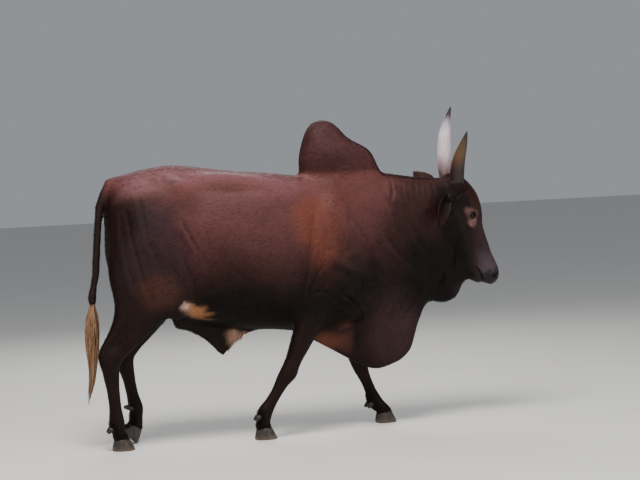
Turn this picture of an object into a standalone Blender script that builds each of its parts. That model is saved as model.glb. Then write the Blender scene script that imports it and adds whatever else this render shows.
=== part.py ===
"""A walking zebu bull at life size: +X is forward, +Y its left side, +Z up, in metres.

The flesh is laid up from lofts and muscle lumps, fused into one surface, smoothed, worked with
brushes and parted with thin cuts. Horns, ears, eyes, claws and the tail's tuft are added to it.
"""

import math
import random

import bmesh
import bpy
import numpy as np
from mathutils import Matrix, Vector

# Driving dimensions
GAP = 0.0003
CUT = 0.0004
SEED = 11

# How finely the flesh is fused, how many triangles it keeps, and how many more the head gets
VOXEL = 0.0060
FLESH_TRIANGLES = 8320
DETAIL = 0.008

# The head's own axes: its origin is at the poll, S runs down the face, T out of the forehead
POLL = Vector((0.950, 0.0, 1.130))
FACE_PITCH = math.radians(72.0)
HEAD_S = Vector((math.cos(FACE_PITCH), 0.0, -math.sin(FACE_PITCH)))
HEAD_T = Vector((math.sin(FACE_PITCH), 0.0, math.cos(FACE_PITCH)))
HEAD_LEAN = math.radians(7.0)
LEAN_START = 0.70
LEAN_END = 0.90
LEAN_HEIGHT = 1.0

RIGHT, LEFT = -1, 1

EYE_RADIUS = 0.0205
EYE_S, EYE_T, EYE_Y = 0.158, -0.004, 0.0790

for old in list(bpy.data.objects):
    bpy.data.objects.remove(old)
BULL = bpy.data.collections.new("zebu_bull")
HELPERS = bpy.data.collections.new("helpers")
for group in (BULL, HELPERS):
    bpy.context.scene.collection.children.link(group)


def lean(point):
    """The head is carried a little over to the bull's right: points turn about a level line."""
    share = (point[0] - LEAN_START) / (LEAN_END - LEAN_START)
    share = min(max(share, 0.0), 1.0)
    angle = HEAD_LEAN * share * share * (3 - 2 * share)
    y, z = point[1], point[2] - LEAN_HEIGHT
    return Vector((
        point[0],
        y * math.cos(angle) - z * math.sin(angle),
        y * math.sin(angle) + z * math.cos(angle) + LEAN_HEIGHT,
    ))


def head_point(s, t, y=0.0):
    """A point of the head from its own axes, before the lean."""
    return POLL + HEAD_S * s + HEAD_T * t + Vector((0.0, y, 0.0))


def smooth_rows(rows, per_span):
    """More rows of numbers on one smooth curve through the given rows."""
    rows = np.array(rows, float)
    knots = np.concatenate([[0], np.cumsum(np.linalg.norm(np.diff(rows[:, :3], axis=0), axis=1))])
    slopes = np.gradient(rows, knots, axis=0)
    made = []
    for i in range(len(rows) - 1):
        step = knots[i + 1] - knots[i]
        for u in np.linspace(0, 1, per_span, endpoint=False):
            h00 = (1 + 2 * u) * (1 - u) ** 2
            h10 = u * (1 - u) ** 2
            h01 = u * u * (3 - 2 * u)
            h11 = u * u * (u - 1)
            made.append(
                h00 * rows[i] + h10 * step * slopes[i] + h01 * rows[i + 1] + h11 * step * slopes[i + 1]
            )
    made.append(rows[-1])
    return np.array(made)


def oval(centre, side, front, width, ahead, behind, round_front, round_back, count):
    """A ring of points: a superellipse with its own depth and roundness ahead and behind."""
    ring = []
    for k in range(count):
        angle = 2 * math.pi * k / count
        c, s = math.cos(angle), math.sin(angle)
        power = 2 / (round_front if s >= 0 else round_back)
        across = math.copysign(abs(c) ** power, c) * width
        depth = math.copysign(abs(s) ** power, s) * (ahead if s >= 0 else behind)
        ring.append(centre + side * across + front * depth)
    return ring


def skin_rings(mesh, rings):
    """Closes a row of rings, of as many points each, into one body with flat ends."""
    made = [[mesh.verts.new(p) for p in ring] for ring in rings]
    count = len(made[0])
    faces = []
    for a, b in zip(made, made[1:]):
        for k in range(count):
            faces.append(mesh.faces.new((a[k], a[(k + 1) % count], b[(k + 1) % count], b[k])))
    faces.append(mesh.faces.new(list(reversed(made[0]))))
    faces.append(mesh.faces.new(made[-1]))
    bmesh.ops.recalc_face_normals(mesh, faces=faces)
    return faces


def loft(mesh, rows, per_span=4, count=28, side=(0, 1, 0), square_to=None):
    """A body through oval sections. A row is a centre's x, y, z, the half width, the depths ahead of
    and behind the centre, and the roundness of each of the two halves. Sections stand square to the
    given way, or else to their own middle line."""
    rows = smooth_rows(rows, per_span)
    rings = []
    for i, row in enumerate(rows):
        before, after = rows[max(i - 1, 0)], rows[min(i + 1, len(rows) - 1)]
        along = Vector(square_to or after[:3] - before[:3]).normalized()
        across = Vector(side)
        across = (across - along * across.dot(along)).normalized()
        front = along.cross(across)
        width, ahead, behind = (max(v, 0.001) for v in row[3:6])
        rings.append(
            oval(Vector(row[:3]), across, front, width, ahead, behind, row[6], row[7], count)
        )
    return skin_rings(mesh, rings)


def girth(x, top, low, half, mid, up=2.0, down=2.0, y=0.0):
    """A row for a section that stands upright across the bull."""
    return (x, y, mid, half, top - mid, mid - low, up, down)


def lump(mesh, centre, radii, pitch=0.0, yaw=0.0, roll=0.0):
    """An ellipsoid of muscle or bone. Pitch turns it nose down about Y, in degrees."""
    turn = (
        Matrix.Rotation(math.radians(yaw), 4, "Z")
        @ Matrix.Rotation(math.radians(pitch), 4, "Y")
        @ Matrix.Rotation(math.radians(roll), 4, "X")
    )
    place = Matrix.Translation(centre) @ turn @ Matrix.Diagonal((*radii, 1.0))
    bmesh.ops.create_uvsphere(mesh, u_segments=20, v_segments=12, radius=1.0, matrix=place)


def head_lump(mesh, s, t, y, radii, pitch=0.0):
    """An ellipsoid placed on the head's axes, its first radius down the face."""
    lump(mesh, head_point(s, t, y), radii, pitch=math.degrees(FACE_PITCH) + pitch)


def torso(mesh):
    """The barrel from the buttocks to the chest, with hips, pins, thighs and shoulders."""
    loft(mesh, [
        girth(-0.728, 1.08, 0.90, 0.055, 0.99),
        girth(-0.690, 1.190, 0.80, 0.120, 1.00, 2.2, 2.0),
        girth(-0.600, 1.243, 0.70, 0.170, 1.01, 2.1, 2.0),
        girth(-0.500, 1.263, 0.62, 0.200, 1.02, 2.0, 2.0),
        girth(-0.410, 1.270, 0.560, 0.222, 0.97, 1.9, 2.1),
        girth(-0.280, 1.254, 0.528, 0.250, 0.90, 1.8, 2.2),
        girth(-0.120, 1.230, 0.503, 0.268, 0.85, 1.8, 2.2),
        girth(0.050, 1.214, 0.487, 0.262, 0.83, 1.8, 2.1),
        girth(0.200, 1.196, 0.470, 0.226, 0.84, 1.8, 1.9),
        girth(0.340, 1.180, 0.480, 0.190, 0.87, 1.8, 1.8),
        girth(0.460, 1.165, 0.520, 0.160, 0.90, 1.9, 1.8),
        girth(0.560, 1.130, 0.600, 0.115, 0.90, 2.0, 1.8),
    ], count=40, square_to=(1, 0, 0))
    for side in (RIGHT, LEFT):
        # Hook of the hip, pin bone, and the ridge between them
        lump(mesh, (-0.425, side * 0.152, 1.150), (0.075, 0.048, 0.060), pitch=20, yaw=side * 18)
        lump(mesh, (-0.690, side * 0.086, 1.080), (0.052, 0.040, 0.055))
        lump(mesh, (-0.580, side * 0.130, 1.120), (0.150, 0.050, 0.070), pitch=-12)
        # Loin beside the spine
        lump(mesh, (-0.230, side * 0.078, 1.172), (0.300, 0.080, 0.058), pitch=3)
        # Rib cage swelling behind the shoulder
        lump(mesh, (0.080, side * 0.130, 0.820), (0.220, 0.118, 0.230))
    lump(mesh, (-0.675, 0.0, 1.185), (0.060, 0.040, 0.040), pitch=30)


def shoulder(mesh, side, point, elbow):
    """Shoulder blade, the muscle over it, the upper arm and the mass behind it down to the elbow."""
    px, pz = point
    ex, ez = elbow
    y = side * 0.138
    lump(mesh, (0.315, side * 0.088, 1.050), (0.070, 0.056, 0.150), pitch=14, roll=side * 10)
    lump(mesh, (px - 0.080, side * 0.120, 0.935), (0.110, 0.078, 0.190), pitch=-22)
    lump(mesh, (px - 0.010, y, pz + 0.010), (0.085, 0.068, 0.110), pitch=-20)
    middle = ((px + ex) / 2, side * 0.162, (pz + ez) / 2 + 0.035)
    lump(mesh, middle, (0.135, 0.062, 0.100), pitch=-38 if ex < 0.25 else -52)
    lump(mesh, (ex + 0.015, side * 0.150, ez + 0.115), (0.075, 0.062, 0.150), pitch=-14)
    lump(mesh, (px - 0.055, side * 0.080, 0.610), (0.110, 0.070, 0.110))


def pastern_rows(leg):
    """The leg's last rows: from the fetlock into the hoof, where the coronet's cut will end it."""
    frame = foot_frame(leg)
    f = np.array(leg["fetlock"])
    p = np.array(frame @ Vector((-0.003, 0.0, 0.062)))
    end = np.array(frame @ Vector((0.004, 0.0, 0.020)))
    return [
        (*(f * 0.5 + p * 0.5), 0.036, 0.029, 0.031, 2.3, 2.2),
        (*p, 0.041, 0.033, 0.034, 2.3, 2.3),
        (*end, 0.043, 0.037, 0.037, 2.3, 2.3),
    ]


def fore_leg(mesh, leg):
    """The leg below the elbow: forearm, knee, cannon, fetlock and pastern."""
    e, k, f = (np.array(leg[v], float) for v in ("elbow", "knee", "fetlock"))
    loft(mesh, [
        (*(e + (0.020, 0, 0.060)), 0.052, 0.085, 0.080, 2, 2),
        (*(e + (0.012, 0, 0.0)), 0.052, 0.078, 0.072, 2, 2),
        (*(e * 0.72 + k * 0.28), 0.050, 0.068, 0.056, 2, 2),
        (*(e * 0.42 + k * 0.58), 0.043, 0.054, 0.044, 2, 2),
        (*(e * 0.16 + k * 0.84), 0.038, 0.041, 0.037, 2.1, 2),
        (*k, 0.041, 0.043, 0.042, 2.5, 2.1),
        (*(k * 0.82 + f * 0.18), 0.035, 0.031, 0.040, 2.3, 2),
        (*(k * 0.58 + f * 0.42), 0.028, 0.027, 0.033, 2.1, 2),
        (*(k * 0.26 + f * 0.74), 0.029, 0.027, 0.034, 2.1, 2),
        (*f, 0.038, 0.034, 0.040, 2.3, 2.2),
    ] + pastern_rows(leg), count=24)


def hind_quarter(mesh, side, stifle, hock):
    """Thigh from the hip to the stifle, the buttock behind it and the fold of the flank."""
    sx, _, sz = stifle
    hx, _, hz = hock
    # How far the buttock reaches back: the left one is drawn forward with its leg
    pin, high, middle, low = (-0.655, 0.090, 0.097, 0.073) if side == RIGHT else (-0.645, 0.060, 0.040, 0.070)
    lump(mesh, (-0.545, side * 0.128, 0.930), (0.150, 0.092, 0.220), pitch=-8)
    lump(mesh, (pin, side * 0.098, 0.930), (0.082, 0.068, 0.190), pitch=6)
    lump(mesh, (sx - 0.045, side * 0.135, 0.765), (0.130, 0.080, 0.150), pitch=-12)
    lump(mesh, (sx + 0.012, side * 0.148, sz + 0.010), (0.062, 0.050, 0.075), pitch=-20)
    loft(mesh, [
        (sx + 0.135, side * 0.150, 0.700, 0.050, 0.050, 0.060, 2, 2),
        (sx + 0.085, side * 0.150, 0.645, 0.038, 0.060, 0.060, 2, 2),
        (sx + 0.015, side * 0.145, 0.605, 0.040, 0.060, 0.040, 2, 2),
    ], count=16)
    loft(mesh, [
        (-0.660, side * 0.100, 0.900, 0.070, 0.090, high, 2, 2),
        (-0.660, side * 0.112, 0.780, 0.068, 0.110, middle, 2, 2),
        (hx + 0.095, side * 0.122, 0.660, 0.055, 0.105, low, 2, 2),
        (hx + 0.050, side * 0.124, 0.560, 0.038, 0.070, 0.045, 2, 2),
        (hx - 0.005, side * 0.124, 0.490, 0.024, 0.040, 0.024, 2, 2),
        (hx - 0.035, side * 0.124, hz + 0.045, 0.020, 0.024, 0.020, 2, 2),
        (hx - 0.036, side * 0.124, hz - 0.010, 0.022, 0.026, 0.016, 2, 2),
        (hx - 0.018, side * 0.124, hz - 0.050, 0.018, 0.020, 0.012, 2, 2),
    ], count=20)


def hind_leg(mesh, leg):
    """Gaskin, hock, cannon, fetlock and pastern."""
    s, h, f = (np.array(leg[v], float) for v in ("stifle", "hock", "fetlock"))
    loft(mesh, [
        (*(s + (-0.010, 0, 0.080)), 0.060, 0.085, 0.095, 2, 2),
        (*s, 0.062, 0.070, 0.100, 2, 2),
        (*(s * 0.72 + h * 0.28), 0.056, 0.062, 0.082, 2, 2),
        (*(s * 0.42 + h * 0.58), 0.044, 0.048, 0.052, 2, 2),
        (*(s * 0.16 + h * 0.84), 0.037, 0.040, 0.036, 2.1, 2),
        (*(h + (0.003, 0, 0.0)), 0.038, 0.042, 0.042, 2.4, 2.1),
        (*(h * 0.84 + f * 0.16), 0.035, 0.038, 0.044, 2.3, 2.1),
        (*(h * 0.62 + f * 0.38), 0.030, 0.031, 0.036, 2.1, 2),
        (*(h * 0.28 + f * 0.72), 0.029, 0.029, 0.033, 2.1, 2),
        (*f, 0.038, 0.035, 0.038, 2.3, 2.2),
    ] + pastern_rows(leg), count=24)


def neck(mesh):
    """The neck, thick along its crest and narrowing to the root of the dewlap."""
    loft(mesh, [
        girth(0.400, 1.170, 0.46, 0.165, 0.93, 2.0, 1.5),
        girth(0.520, 1.176, 0.45, 0.150, 0.94, 2.1, 1.4),
        girth(0.640, 1.172, 0.47, 0.130, 0.96, 2.1, 1.35),
        girth(0.750, 1.167, 0.52, 0.112, 0.97, 2.1, 1.4),
        girth(0.850, 1.160, 0.60, 0.099, 0.98, 2.2, 1.5),
        girth(0.930, 1.138, 0.70, 0.086, 0.98, 2.2, 1.8),
    ], count=32, square_to=(1, 0, 0))
    for x, height, half in ((0.626, 1.168, 0.016), (0.664, 1.154, 0.013), (0.700, 1.151, 0.012)):
        lump(mesh, (x, 0.0, height), (half, 0.070, 0.034), pitch=8)


def hump(mesh):
    """The hump over the withers, leaning back so that its rear lobe overhangs the back."""
    rows = [(0.398, 0, 1.080, 0.115, 0.190, 0.190, 2.2, 2.2), (0.396, 0, 1.150, 0.098, 0.190, 0.190, 2.2, 2.2)]
    for z, behind, ahead, half in (
        (1.200, 0.200, 0.588, 0.080), (1.228, 0.188, 0.568, 0.086), (1.255, 0.188, 0.556, 0.092),
        (1.288, 0.194, 0.538, 0.094), (1.318, 0.202, 0.500, 0.090), (1.340, 0.208, 0.455, 0.084),
        (1.364, 0.216, 0.420, 0.076), (1.400, 0.231, 0.392, 0.062), (1.426, 0.249, 0.366, 0.044),
        (1.443, 0.272, 0.335, 0.022), (1.449, 0.292, 0.312, 0.006),
    ):
        middle = behind * 0.55 + ahead * 0.45
        rows.append((middle, 0, z, half, ahead - middle, middle - behind, 2.1, 2.3))
    loft(mesh, rows, side=(0, -1, 0), square_to=(0, 0, 1), per_span=3, count=28)


def dewlap(mesh):
    """The hanging fold of the throat and brisket, a thick sheet with a notch under the throat."""
    edges = (
        (0.140, 0.462, 0.060), (0.220, 0.424, 0.056), (0.300, 0.378, 0.050), (0.380, 0.330, 0.044),
        (0.450, 0.290, 0.040), (0.520, 0.266, 0.036), (0.590, 0.280, 0.033), (0.652, 0.305, 0.031),
        (0.692, 0.340, 0.029), (0.716, 0.400, 0.028), (0.737, 0.462, 0.028), (0.762, 0.508, 0.027),
        (0.786, 0.550, 0.026), (0.812, 0.562, 0.026), (0.865, 0.553, 0.027), (0.912, 0.553, 0.027),
        (0.950, 0.570, 0.027), (0.976, 0.617, 0.026), (0.996, 0.650, 0.024), (1.024, 0.664, 0.020),
    )
    loft(mesh, [girth(x, 0.86, low, half, low + 0.13, 2.4, 2.6) for x, low, half in edges],
         per_span=3, count=24, square_to=(1, 0, 0))


def sheath(mesh):
    """The fold under the belly that hangs to a point at the sheath."""
    edges = (
        (-0.440, 0.520, 0.030), (-0.380, 0.508, 0.028), (-0.320, 0.478, 0.026),
        (-0.270, 0.436, 0.025), (-0.232, 0.392, 0.022), (-0.212, 0.374, 0.018),
        (-0.192, 0.398, 0.020), (-0.160, 0.445, 0.024), (-0.100, 0.472, 0.026), (-0.030, 0.492, 0.026),
    )
    loft(mesh, [girth(x, 0.62, low, half, low + 0.05, 2.4, 2.0) for x, low, half in edges],
         per_span=3, count=20, square_to=(1, 0, 0))


# The tail's middle line: x, z and half thickness, from its root on the rump to its tip
TAIL = (
    (-0.620, 1.200, 0.036), (-0.660, 1.200, 0.032), (-0.699, 1.185, 0.028), (-0.753, 1.095, 0.020),
    (-0.767, 0.990, 0.0175), (-0.779, 0.860, 0.0180), (-0.785, 0.790, 0.0175), (-0.798, 0.735, 0.016),
    (-0.806, 0.690, 0.0200), (-0.807, 0.655, 0.018),
)
TAIL_CUT = Vector((-0.7240, 0.0, 1.1560))
TAIL_WAY = Vector((-0.55, 0.0, -0.84)).normalized()


def tail_root(mesh):
    """The tail's flesh where it leaves the rump. The rest of the tail is a node of its own."""
    end = TAIL_CUT + TAIL_WAY * 0.012
    rows = [(x, 0, z, r, r, r, 2, 2) for x, z, r in TAIL[:3]]
    loft(mesh, rows + [(end.x, 0, end.z, 0.026, 0.026, 0.026, 2, 2)], count=16)


def head(mesh):
    """Skull, cheeks, brows, jaw and muzzle."""
    rows = (
        (-0.030, -0.008, -0.120, 0.060, 2.2, 2.0), (0.010, 0.038, -0.145, 0.078, 2.4, 1.9),
        (0.060, 0.065, -0.162, 0.087, 2.7, 1.8), (0.110, 0.077, -0.172, 0.090, 2.8, 1.7),
        (0.165, 0.073, -0.176, 0.090, 2.7, 1.6), (0.220, 0.062, -0.168, 0.080, 2.5, 1.6),
        (0.280, 0.061, -0.144, 0.066, 2.3, 1.7), (0.335, 0.063, -0.119, 0.055, 2.2, 1.8),
        (0.390, 0.064, -0.103, 0.050, 2.2, 2.0), (0.440, 0.070, -0.088, 0.052, 2.5, 2.2),
        (0.480, 0.070, -0.066, 0.053, 2.7, 2.2), (0.506, 0.049, -0.055, 0.046, 2.4, 2.2),
        (0.523, 0.018, -0.038, 0.030, 2.0, 2.0),
    )
    made = []
    for s, ahead, behind, half, front_round, back_round in rows:
        middle = ahead * 0.6 + behind * 0.4
        centre = head_point(s, middle)
        made.append((*centre, half, ahead - middle, middle - behind, front_round, back_round))
    loft(mesh, made, count=32)
    for side in (RIGHT, LEFT):
        head_lump(mesh, 0.140, 0.022, side * 0.070, (0.046, 0.032, 0.026))
        head_lump(mesh, 0.185, -0.020, side * 0.062, (0.045, 0.028, 0.030))
        head_lump(mesh, 0.175, -0.105, side * 0.050, (0.085, 0.030, 0.060))
        head_lump(mesh, 0.250, -0.075, side * 0.040, (0.085, 0.022, 0.036), pitch=-8)
        head_lump(mesh, 0.460, 0.033, side * 0.033, (0.034, 0.022, 0.022))
        head_lump(mesh, 0.010, -0.016, side * 0.056, (0.044, 0.034, 0.040))
    head_lump(mesh, 0.010, 0.004, 0.0, (0.046, 0.066, 0.036))
    head_lump(mesh, 0.484, 0.016, 0.0, (0.026, 0.048, 0.038))
    head_lump(mesh, 0.470, -0.044, 0.0, (0.036, 0.038, 0.022))
    head_lump(mesh, 0.415, -0.072, 0.0, (0.060, 0.034, 0.020), pitch=-6)


# Each foot: where its toe tip stands, how far the foot is tipped on to the toe and turned out, in
# degrees, and the leg's joints above it
TOE = 0.060
CORONET = 0.055
CORONET_SLOPE = 0.30
FORE = {
    "right": dict(side=RIGHT, tip=(-0.004, -0.124), tilt=0.0, turn=-4.0, point=(0.425, 0.745),
                  elbow=(0.188, -0.156, 0.600), knee=(0.054, -0.140, 0.294),
                  fetlock=(-0.058, -0.126, 0.116)),
    "left": dict(side=LEFT, tip=(0.650, 0.126), tilt=0.0, turn=5.0, point=(0.455, 0.745),
                 elbow=(0.325, 0.158, 0.590), knee=(0.484, 0.142, 0.285),
                 fetlock=(0.552, 0.128, 0.104)),
}
HIND = {
    "right": dict(side=RIGHT, tip=(-0.662, -0.112), tilt=0.0, turn=-6.0,
                  stifle=(-0.500, -0.152, 0.675), hock=(-0.760, -0.124, 0.402),
                  fetlock=(-0.738, -0.114, 0.112)),
    "left": dict(side=LEFT, tip=(-0.612, 0.110), tilt=46.0, turn=4.0,
                 stifle=(-0.420, 0.152, 0.665), hock=(-0.650, 0.122, 0.400),
                 fetlock=(-0.607, 0.112, 0.150)),
}


def foot_frame(leg):
    """Foot axes to the bull's: x forward from under the coronet, z up, tipped about the toe."""
    tip = Vector((*leg["tip"], -0.006 if leg["tilt"] else 0.0))
    return (
        Matrix.Translation(tip)
        @ Matrix.Rotation(math.radians(leg["turn"]), 4, "Z")
        @ Matrix.Rotation(math.radians(leg["tilt"]), 4, "Y")
        @ Matrix.Translation((-TOE, 0.0, 0.0))
    )


def flesh():
    """Every mass of flesh in one mesh, still overlapping."""
    mesh = bmesh.new()
    torso(mesh)
    neck(mesh)
    hump(mesh)
    dewlap(mesh)
    sheath(mesh)
    tail_root(mesh)
    head(mesh)
    for leg in FORE.values():
        shoulder(mesh, leg["side"], leg["point"], (leg["elbow"][0], leg["elbow"][2]))
        fore_leg(mesh, leg)
    for leg in HIND.values():
        hind_quarter(mesh, leg["side"], leg["stifle"], leg["hock"])
        hind_leg(mesh, leg)
    return mesh


def mesh_arrays(mesh):
    """A mesh's points and edges."""
    points = np.empty(len(mesh.vertices) * 3)
    mesh.vertices.foreach_get("co", points)
    edges = np.empty(len(mesh.edges) * 2, int)
    mesh.edges.foreach_get("vertices", edges)
    return points.reshape(-1, 3), edges.reshape(-1, 2)


def ramp(value, start, end):
    """0 at start, 1 at end, and smooth between."""
    share = np.clip((value - start) / (end - start), 0, 1)
    return share * share * (3 - 2 * share)


def softness(points):
    """How strongly each point is smoothed: most on the barrel, least on head, legs and folds."""
    x, y, z = points[:, 0], np.abs(points[:, 1]), points[:, 2]
    brisket = ramp(-y, -0.100, -0.070) * ramp(x, -0.10, 0.05)
    amount = 0.08 + 0.92 * ramp(z + 0.08 * brisket, 0.50, 0.66)
    throat = ramp(x, 0.52, 0.62) * ramp(-z, -0.70, -0.62)
    jaw = ramp(x - 0.15 * (z - 1), 0.82, 0.90)
    above = 0.92 * ramp(z, 1.18, 1.23)
    root = ramp(-x, 0.66, 0.71) * ramp(z, 1.06, 1.12) * ramp(-y, -0.055, -0.035)
    for spared in (throat, jaw, above, root):
        amount = np.minimum(amount, 1 - 0.92 * spared)
    return amount


def relax(mesh, rounds):
    """Moves points toward the middle of their neighbours, each by its own softness."""
    points, edges = mesh_arrays(mesh)
    amount = 0.6 * softness(points)[:, None]
    count = len(points)
    a, b = edges.T
    links = np.bincount(a, minlength=count) + np.bincount(b, minlength=count)
    for _ in range(rounds):
        total = np.stack([
            np.bincount(a, points[b, k], count) + np.bincount(b, points[a, k], count)
            for k in range(3)
        ], axis=1)
        points = points + amount * (total / links[:, None] - points)
    mesh.vertices.foreach_set("co", points.ravel())
    mesh.update()


def stroke(mesh, path, radius, depth):
    """A brush along a path: swells the surface near it by the depth, or sinks it if negative."""
    points, _ = mesh_arrays(mesh)
    normals = np.empty(len(points) * 3)
    mesh.vertices.foreach_get("normal", normals)
    normals = normals.reshape(-1, 3)
    path = np.array([tuple(p) for p in path])
    nearest = np.full(len(points), 1e9)
    for a, b in zip(path, path[1:]):
        along = b - a
        share = np.clip((points - a) @ along / (along @ along), 0, 1)
        gap = np.linalg.norm(points - a - share[:, None] * along, axis=1)
        nearest = np.minimum(nearest, gap)
    amount = depth * (1 - ramp(nearest, 0.0, radius))
    points += normals * amount[:, None]
    mesh.vertices.foreach_set("co", points.ravel())
    mesh.update()


def head_path(*places, side=1):
    """A path on the leaned head from (s, t, y) places."""
    return [lean(head_point(s, t, y * side)) for s, t, y in places]


def carve(mesh):
    """Lids, cheek, mouth and nostrils."""
    for side in (RIGHT, LEFT):
        lids = [(EYE_S - 0.030, EYE_T - 0.010), (EYE_S - 0.020, EYE_T + 0.008),
                (EYE_S, EYE_T + 0.016), (EYE_S + 0.020, EYE_T + 0.008),
                (EYE_S + 0.028, EYE_T - 0.008), (EYE_S + 0.008, EYE_T - 0.020),
                (EYE_S - 0.016, EYE_T - 0.019), (EYE_S - 0.030, EYE_T - 0.010)]
        stroke(mesh, head_path(*[(s, t, EYE_Y + 0.010) for s, t in lids], side=side), 0.011, 0.0060)
        stroke(mesh, head_path((EYE_S - 0.012, EYE_T, EYE_Y + 0.012),
                               (EYE_S + 0.012, EYE_T - 0.002, EYE_Y + 0.012), side=side),
               0.014, -0.0060)
        stroke(mesh, head_path((0.505, -0.020, 0.012), (0.486, -0.034, 0.044),
                               (0.448, -0.040, 0.050), (0.412, -0.048, 0.050), side=side),
               0.011, -0.0085)
        stroke(mesh, head_path((0.472, 0.052, 0.024), (0.488, 0.034, 0.036),
                               (0.482, 0.018, 0.046), side=side), 0.010, -0.0100)
        stroke(mesh, head_path((0.462, 0.040, 0.044), (0.470, 0.020, 0.054), side=side),
               0.013, 0.0045)
        # The shallow hollow of the face below the eye and the line of the jaw
        stroke(mesh, head_path((0.220, 0.020, 0.074), (0.330, 0.026, 0.056), side=side),
               0.040, -0.0060)
        stroke(mesh, head_path((0.080, -0.075, 0.088), (0.180, -0.060, 0.086), side=side),
               0.030, -0.0060)


def crease(mesh):
    """The hollow of the flank, the fold before the thigh and the folds of the neck."""
    for side in (RIGHT, LEFT):
        stroke(mesh, [(-0.400, side * 0.225, 0.860), (-0.350, side * 0.240, 0.960),
                      (-0.360, side * 0.225, 1.070)], 0.060, -0.016)
        stroke(mesh, [(0.130, side * 0.235, 0.700), (0.215, side * 0.225, 0.860),
                      (0.235, side * 0.200, 1.000)], 0.050, -0.010)
        for x, low in ((0.645, 0.86), (0.715, 0.90)):
            stroke(mesh, [(x, side * 0.02, 1.160), (x + 0.010, side * 0.10, 1.08),
                          (x + 0.030, side * 0.125, low)], 0.026, -0.010)


# Plain colours of the nodes, by the first word of the name
COLOURS = {
    "torso": (0.150, 0.062, 0.050), "neck": (0.090, 0.042, 0.036), "hump": (0.110, 0.052, 0.045),
    "dewlap": (0.040, 0.024, 0.021), "head": (0.042, 0.026, 0.023), "leg": (0.035, 0.022, 0.019),
    "scrotum": (0.050, 0.030, 0.026), "ear": (0.040, 0.024, 0.021), "eye": (0.010, 0.006, 0.005),
    "claw": (0.030, 0.026, 0.024), "dewclaw": (0.030, 0.026, 0.024), "tail": (0.040, 0.024, 0.021),
    "tail_switch": (0.240, 0.130, 0.070), "horn_right": (0.260, 0.130, 0.060),
    "horn_left": (0.450, 0.420, 0.400),
}


def paint(piece):
    """Gives a node a material of its own."""
    name = piece.name
    colour = COLOURS.get(name) or COLOURS[name.split("_")[0]]
    material = bpy.data.materials.new(f"{name}_finish")
    material.use_nodes = True
    shader = material.node_tree.nodes["Principled BSDF"]
    shader.inputs["Base Color"].default_value = (*colour, 1.0)
    smooth = name.split("_")[0] in ("eye", "horn", "claw", "dewclaw")
    shader.inputs["Roughness"].default_value = 0.15 if name.startswith("eye") else 0.4 if smooth else 0.7
    piece.data.materials.clear()
    piece.data.materials.append(material)
    piece.data.polygons.foreach_set("use_smooth", [True] * len(piece.data.polygons))


def as_object(mesh, name, group=HELPERS):
    """An object with the mesh of the bmesh, which is used up."""
    data = bpy.data.meshes.new(name)
    bmesh.ops.recalc_face_normals(mesh, faces=mesh.faces)
    if mesh.calc_volume(signed=True) < 0:
        bmesh.ops.reverse_faces(mesh, faces=mesh.faces)
    mesh.to_mesh(data)
    mesh.free()
    made = bpy.data.objects.new(name, data)
    group.objects.link(made)
    return made


def settle(piece):
    """Puts the evaluated mesh of an object in place of its own and drops its modifiers."""
    bpy.context.view_layer.update()
    graph = bpy.context.evaluated_depsgraph_get()
    data = bpy.data.meshes.new_from_object(piece.evaluated_get(graph))
    piece.modifiers.clear()
    piece.data = data


def cut_away(piece, mesh):
    """Takes every closed body of the bmesh off the piece."""
    cutter = as_object(mesh, "cutter")
    cutter.hide_render = True
    cutter.display_type = "WIRE"
    cut = piece.modifiers.new("cut", "BOOLEAN")
    cut.operation = "DIFFERENCE"
    cut.solver = "MANIFOLD"
    cut.object = cutter
    settle(piece)
    bpy.data.objects.remove(cutter)


def join(piece, mesh):
    """Unites a closed body with the piece."""
    other = as_object(mesh, "joined")
    fuse = piece.modifiers.new("join", "BOOLEAN")
    fuse.operation = "UNION"
    fuse.solver = "MANIFOLD"
    fuse.object = other
    settle(piece)
    bpy.data.objects.remove(other)


def fused_flesh():
    """One smooth closed skin over all the flesh, leaned, brushed and thinned to its triangles."""
    body = as_object(flesh(), "flesh")
    fuse = body.modifiers.new("fuse", "REMESH")
    fuse.mode = "VOXEL"
    fuse.voxel_size = VOXEL
    settle(body)
    relax(body.data, 40)
    crease(body.data)
    relax(body.data, 110)
    for vertex in body.data.vertices:
        vertex.co = lean(vertex.co)
    body.data.update()
    carve(body.data)
    points, _ = mesh_arrays(body.data)
    fine = 1 - ramp(np.abs(points[:, 0] - 1.00), 0.12, 0.20)
    group = body.vertex_groups.new(name="coarse")
    for level in range(11):
        chosen = np.nonzero(np.round(fine * 10).astype(int) == level)[0]
        if len(chosen):
            group.add(chosen.tolist(), 1 - 0.09 * level, "REPLACE")
    thin = body.modifiers.new("thin", "DECIMATE")
    thin.ratio = FLESH_TRIANGLES / (2 * len(body.data.polygons))
    thin.vertex_group = "coarse"
    thin.vertex_group_factor = DETAIL
    thin.use_collapse_triangulate = True
    settle(body)
    return body


def strip(mesh, line, low, high, thick=CUT):
    """A thin sheet for cutting: follows a line of (x, z) points, from y low to y high."""
    line = [Vector((x, 0.0, z)) for x, z in line]
    above, below = [], []
    for i, point in enumerate(line):
        along = (line[min(i + 1, len(line) - 1)] - line[max(i - 1, 0)]).normalized()
        across = Vector((-along.z, 0.0, along.x)) * (thick / 2)
        above.append(point + across)
        below.append(point - across)
    outline = above + list(reversed(below))
    near = [mesh.verts.new((p.x, low, p.z)) for p in outline]
    far = [mesh.verts.new((p.x, high, p.z)) for p in outline]
    count, faces = len(outline), []
    for k in range(count):
        faces.append(mesh.faces.new((near[k], near[(k + 1) % count], far[(k + 1) % count], far[k])))
    for k in range(len(line) - 1):
        last = count - 1 - k
        faces.append(mesh.faces.new((near[k + 1], near[k], near[last], near[last - 1])))
        faces.append(mesh.faces.new((far[k], far[k + 1], far[last - 1], far[last])))
    bmesh.ops.recalc_face_normals(mesh, faces=faces)


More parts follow.
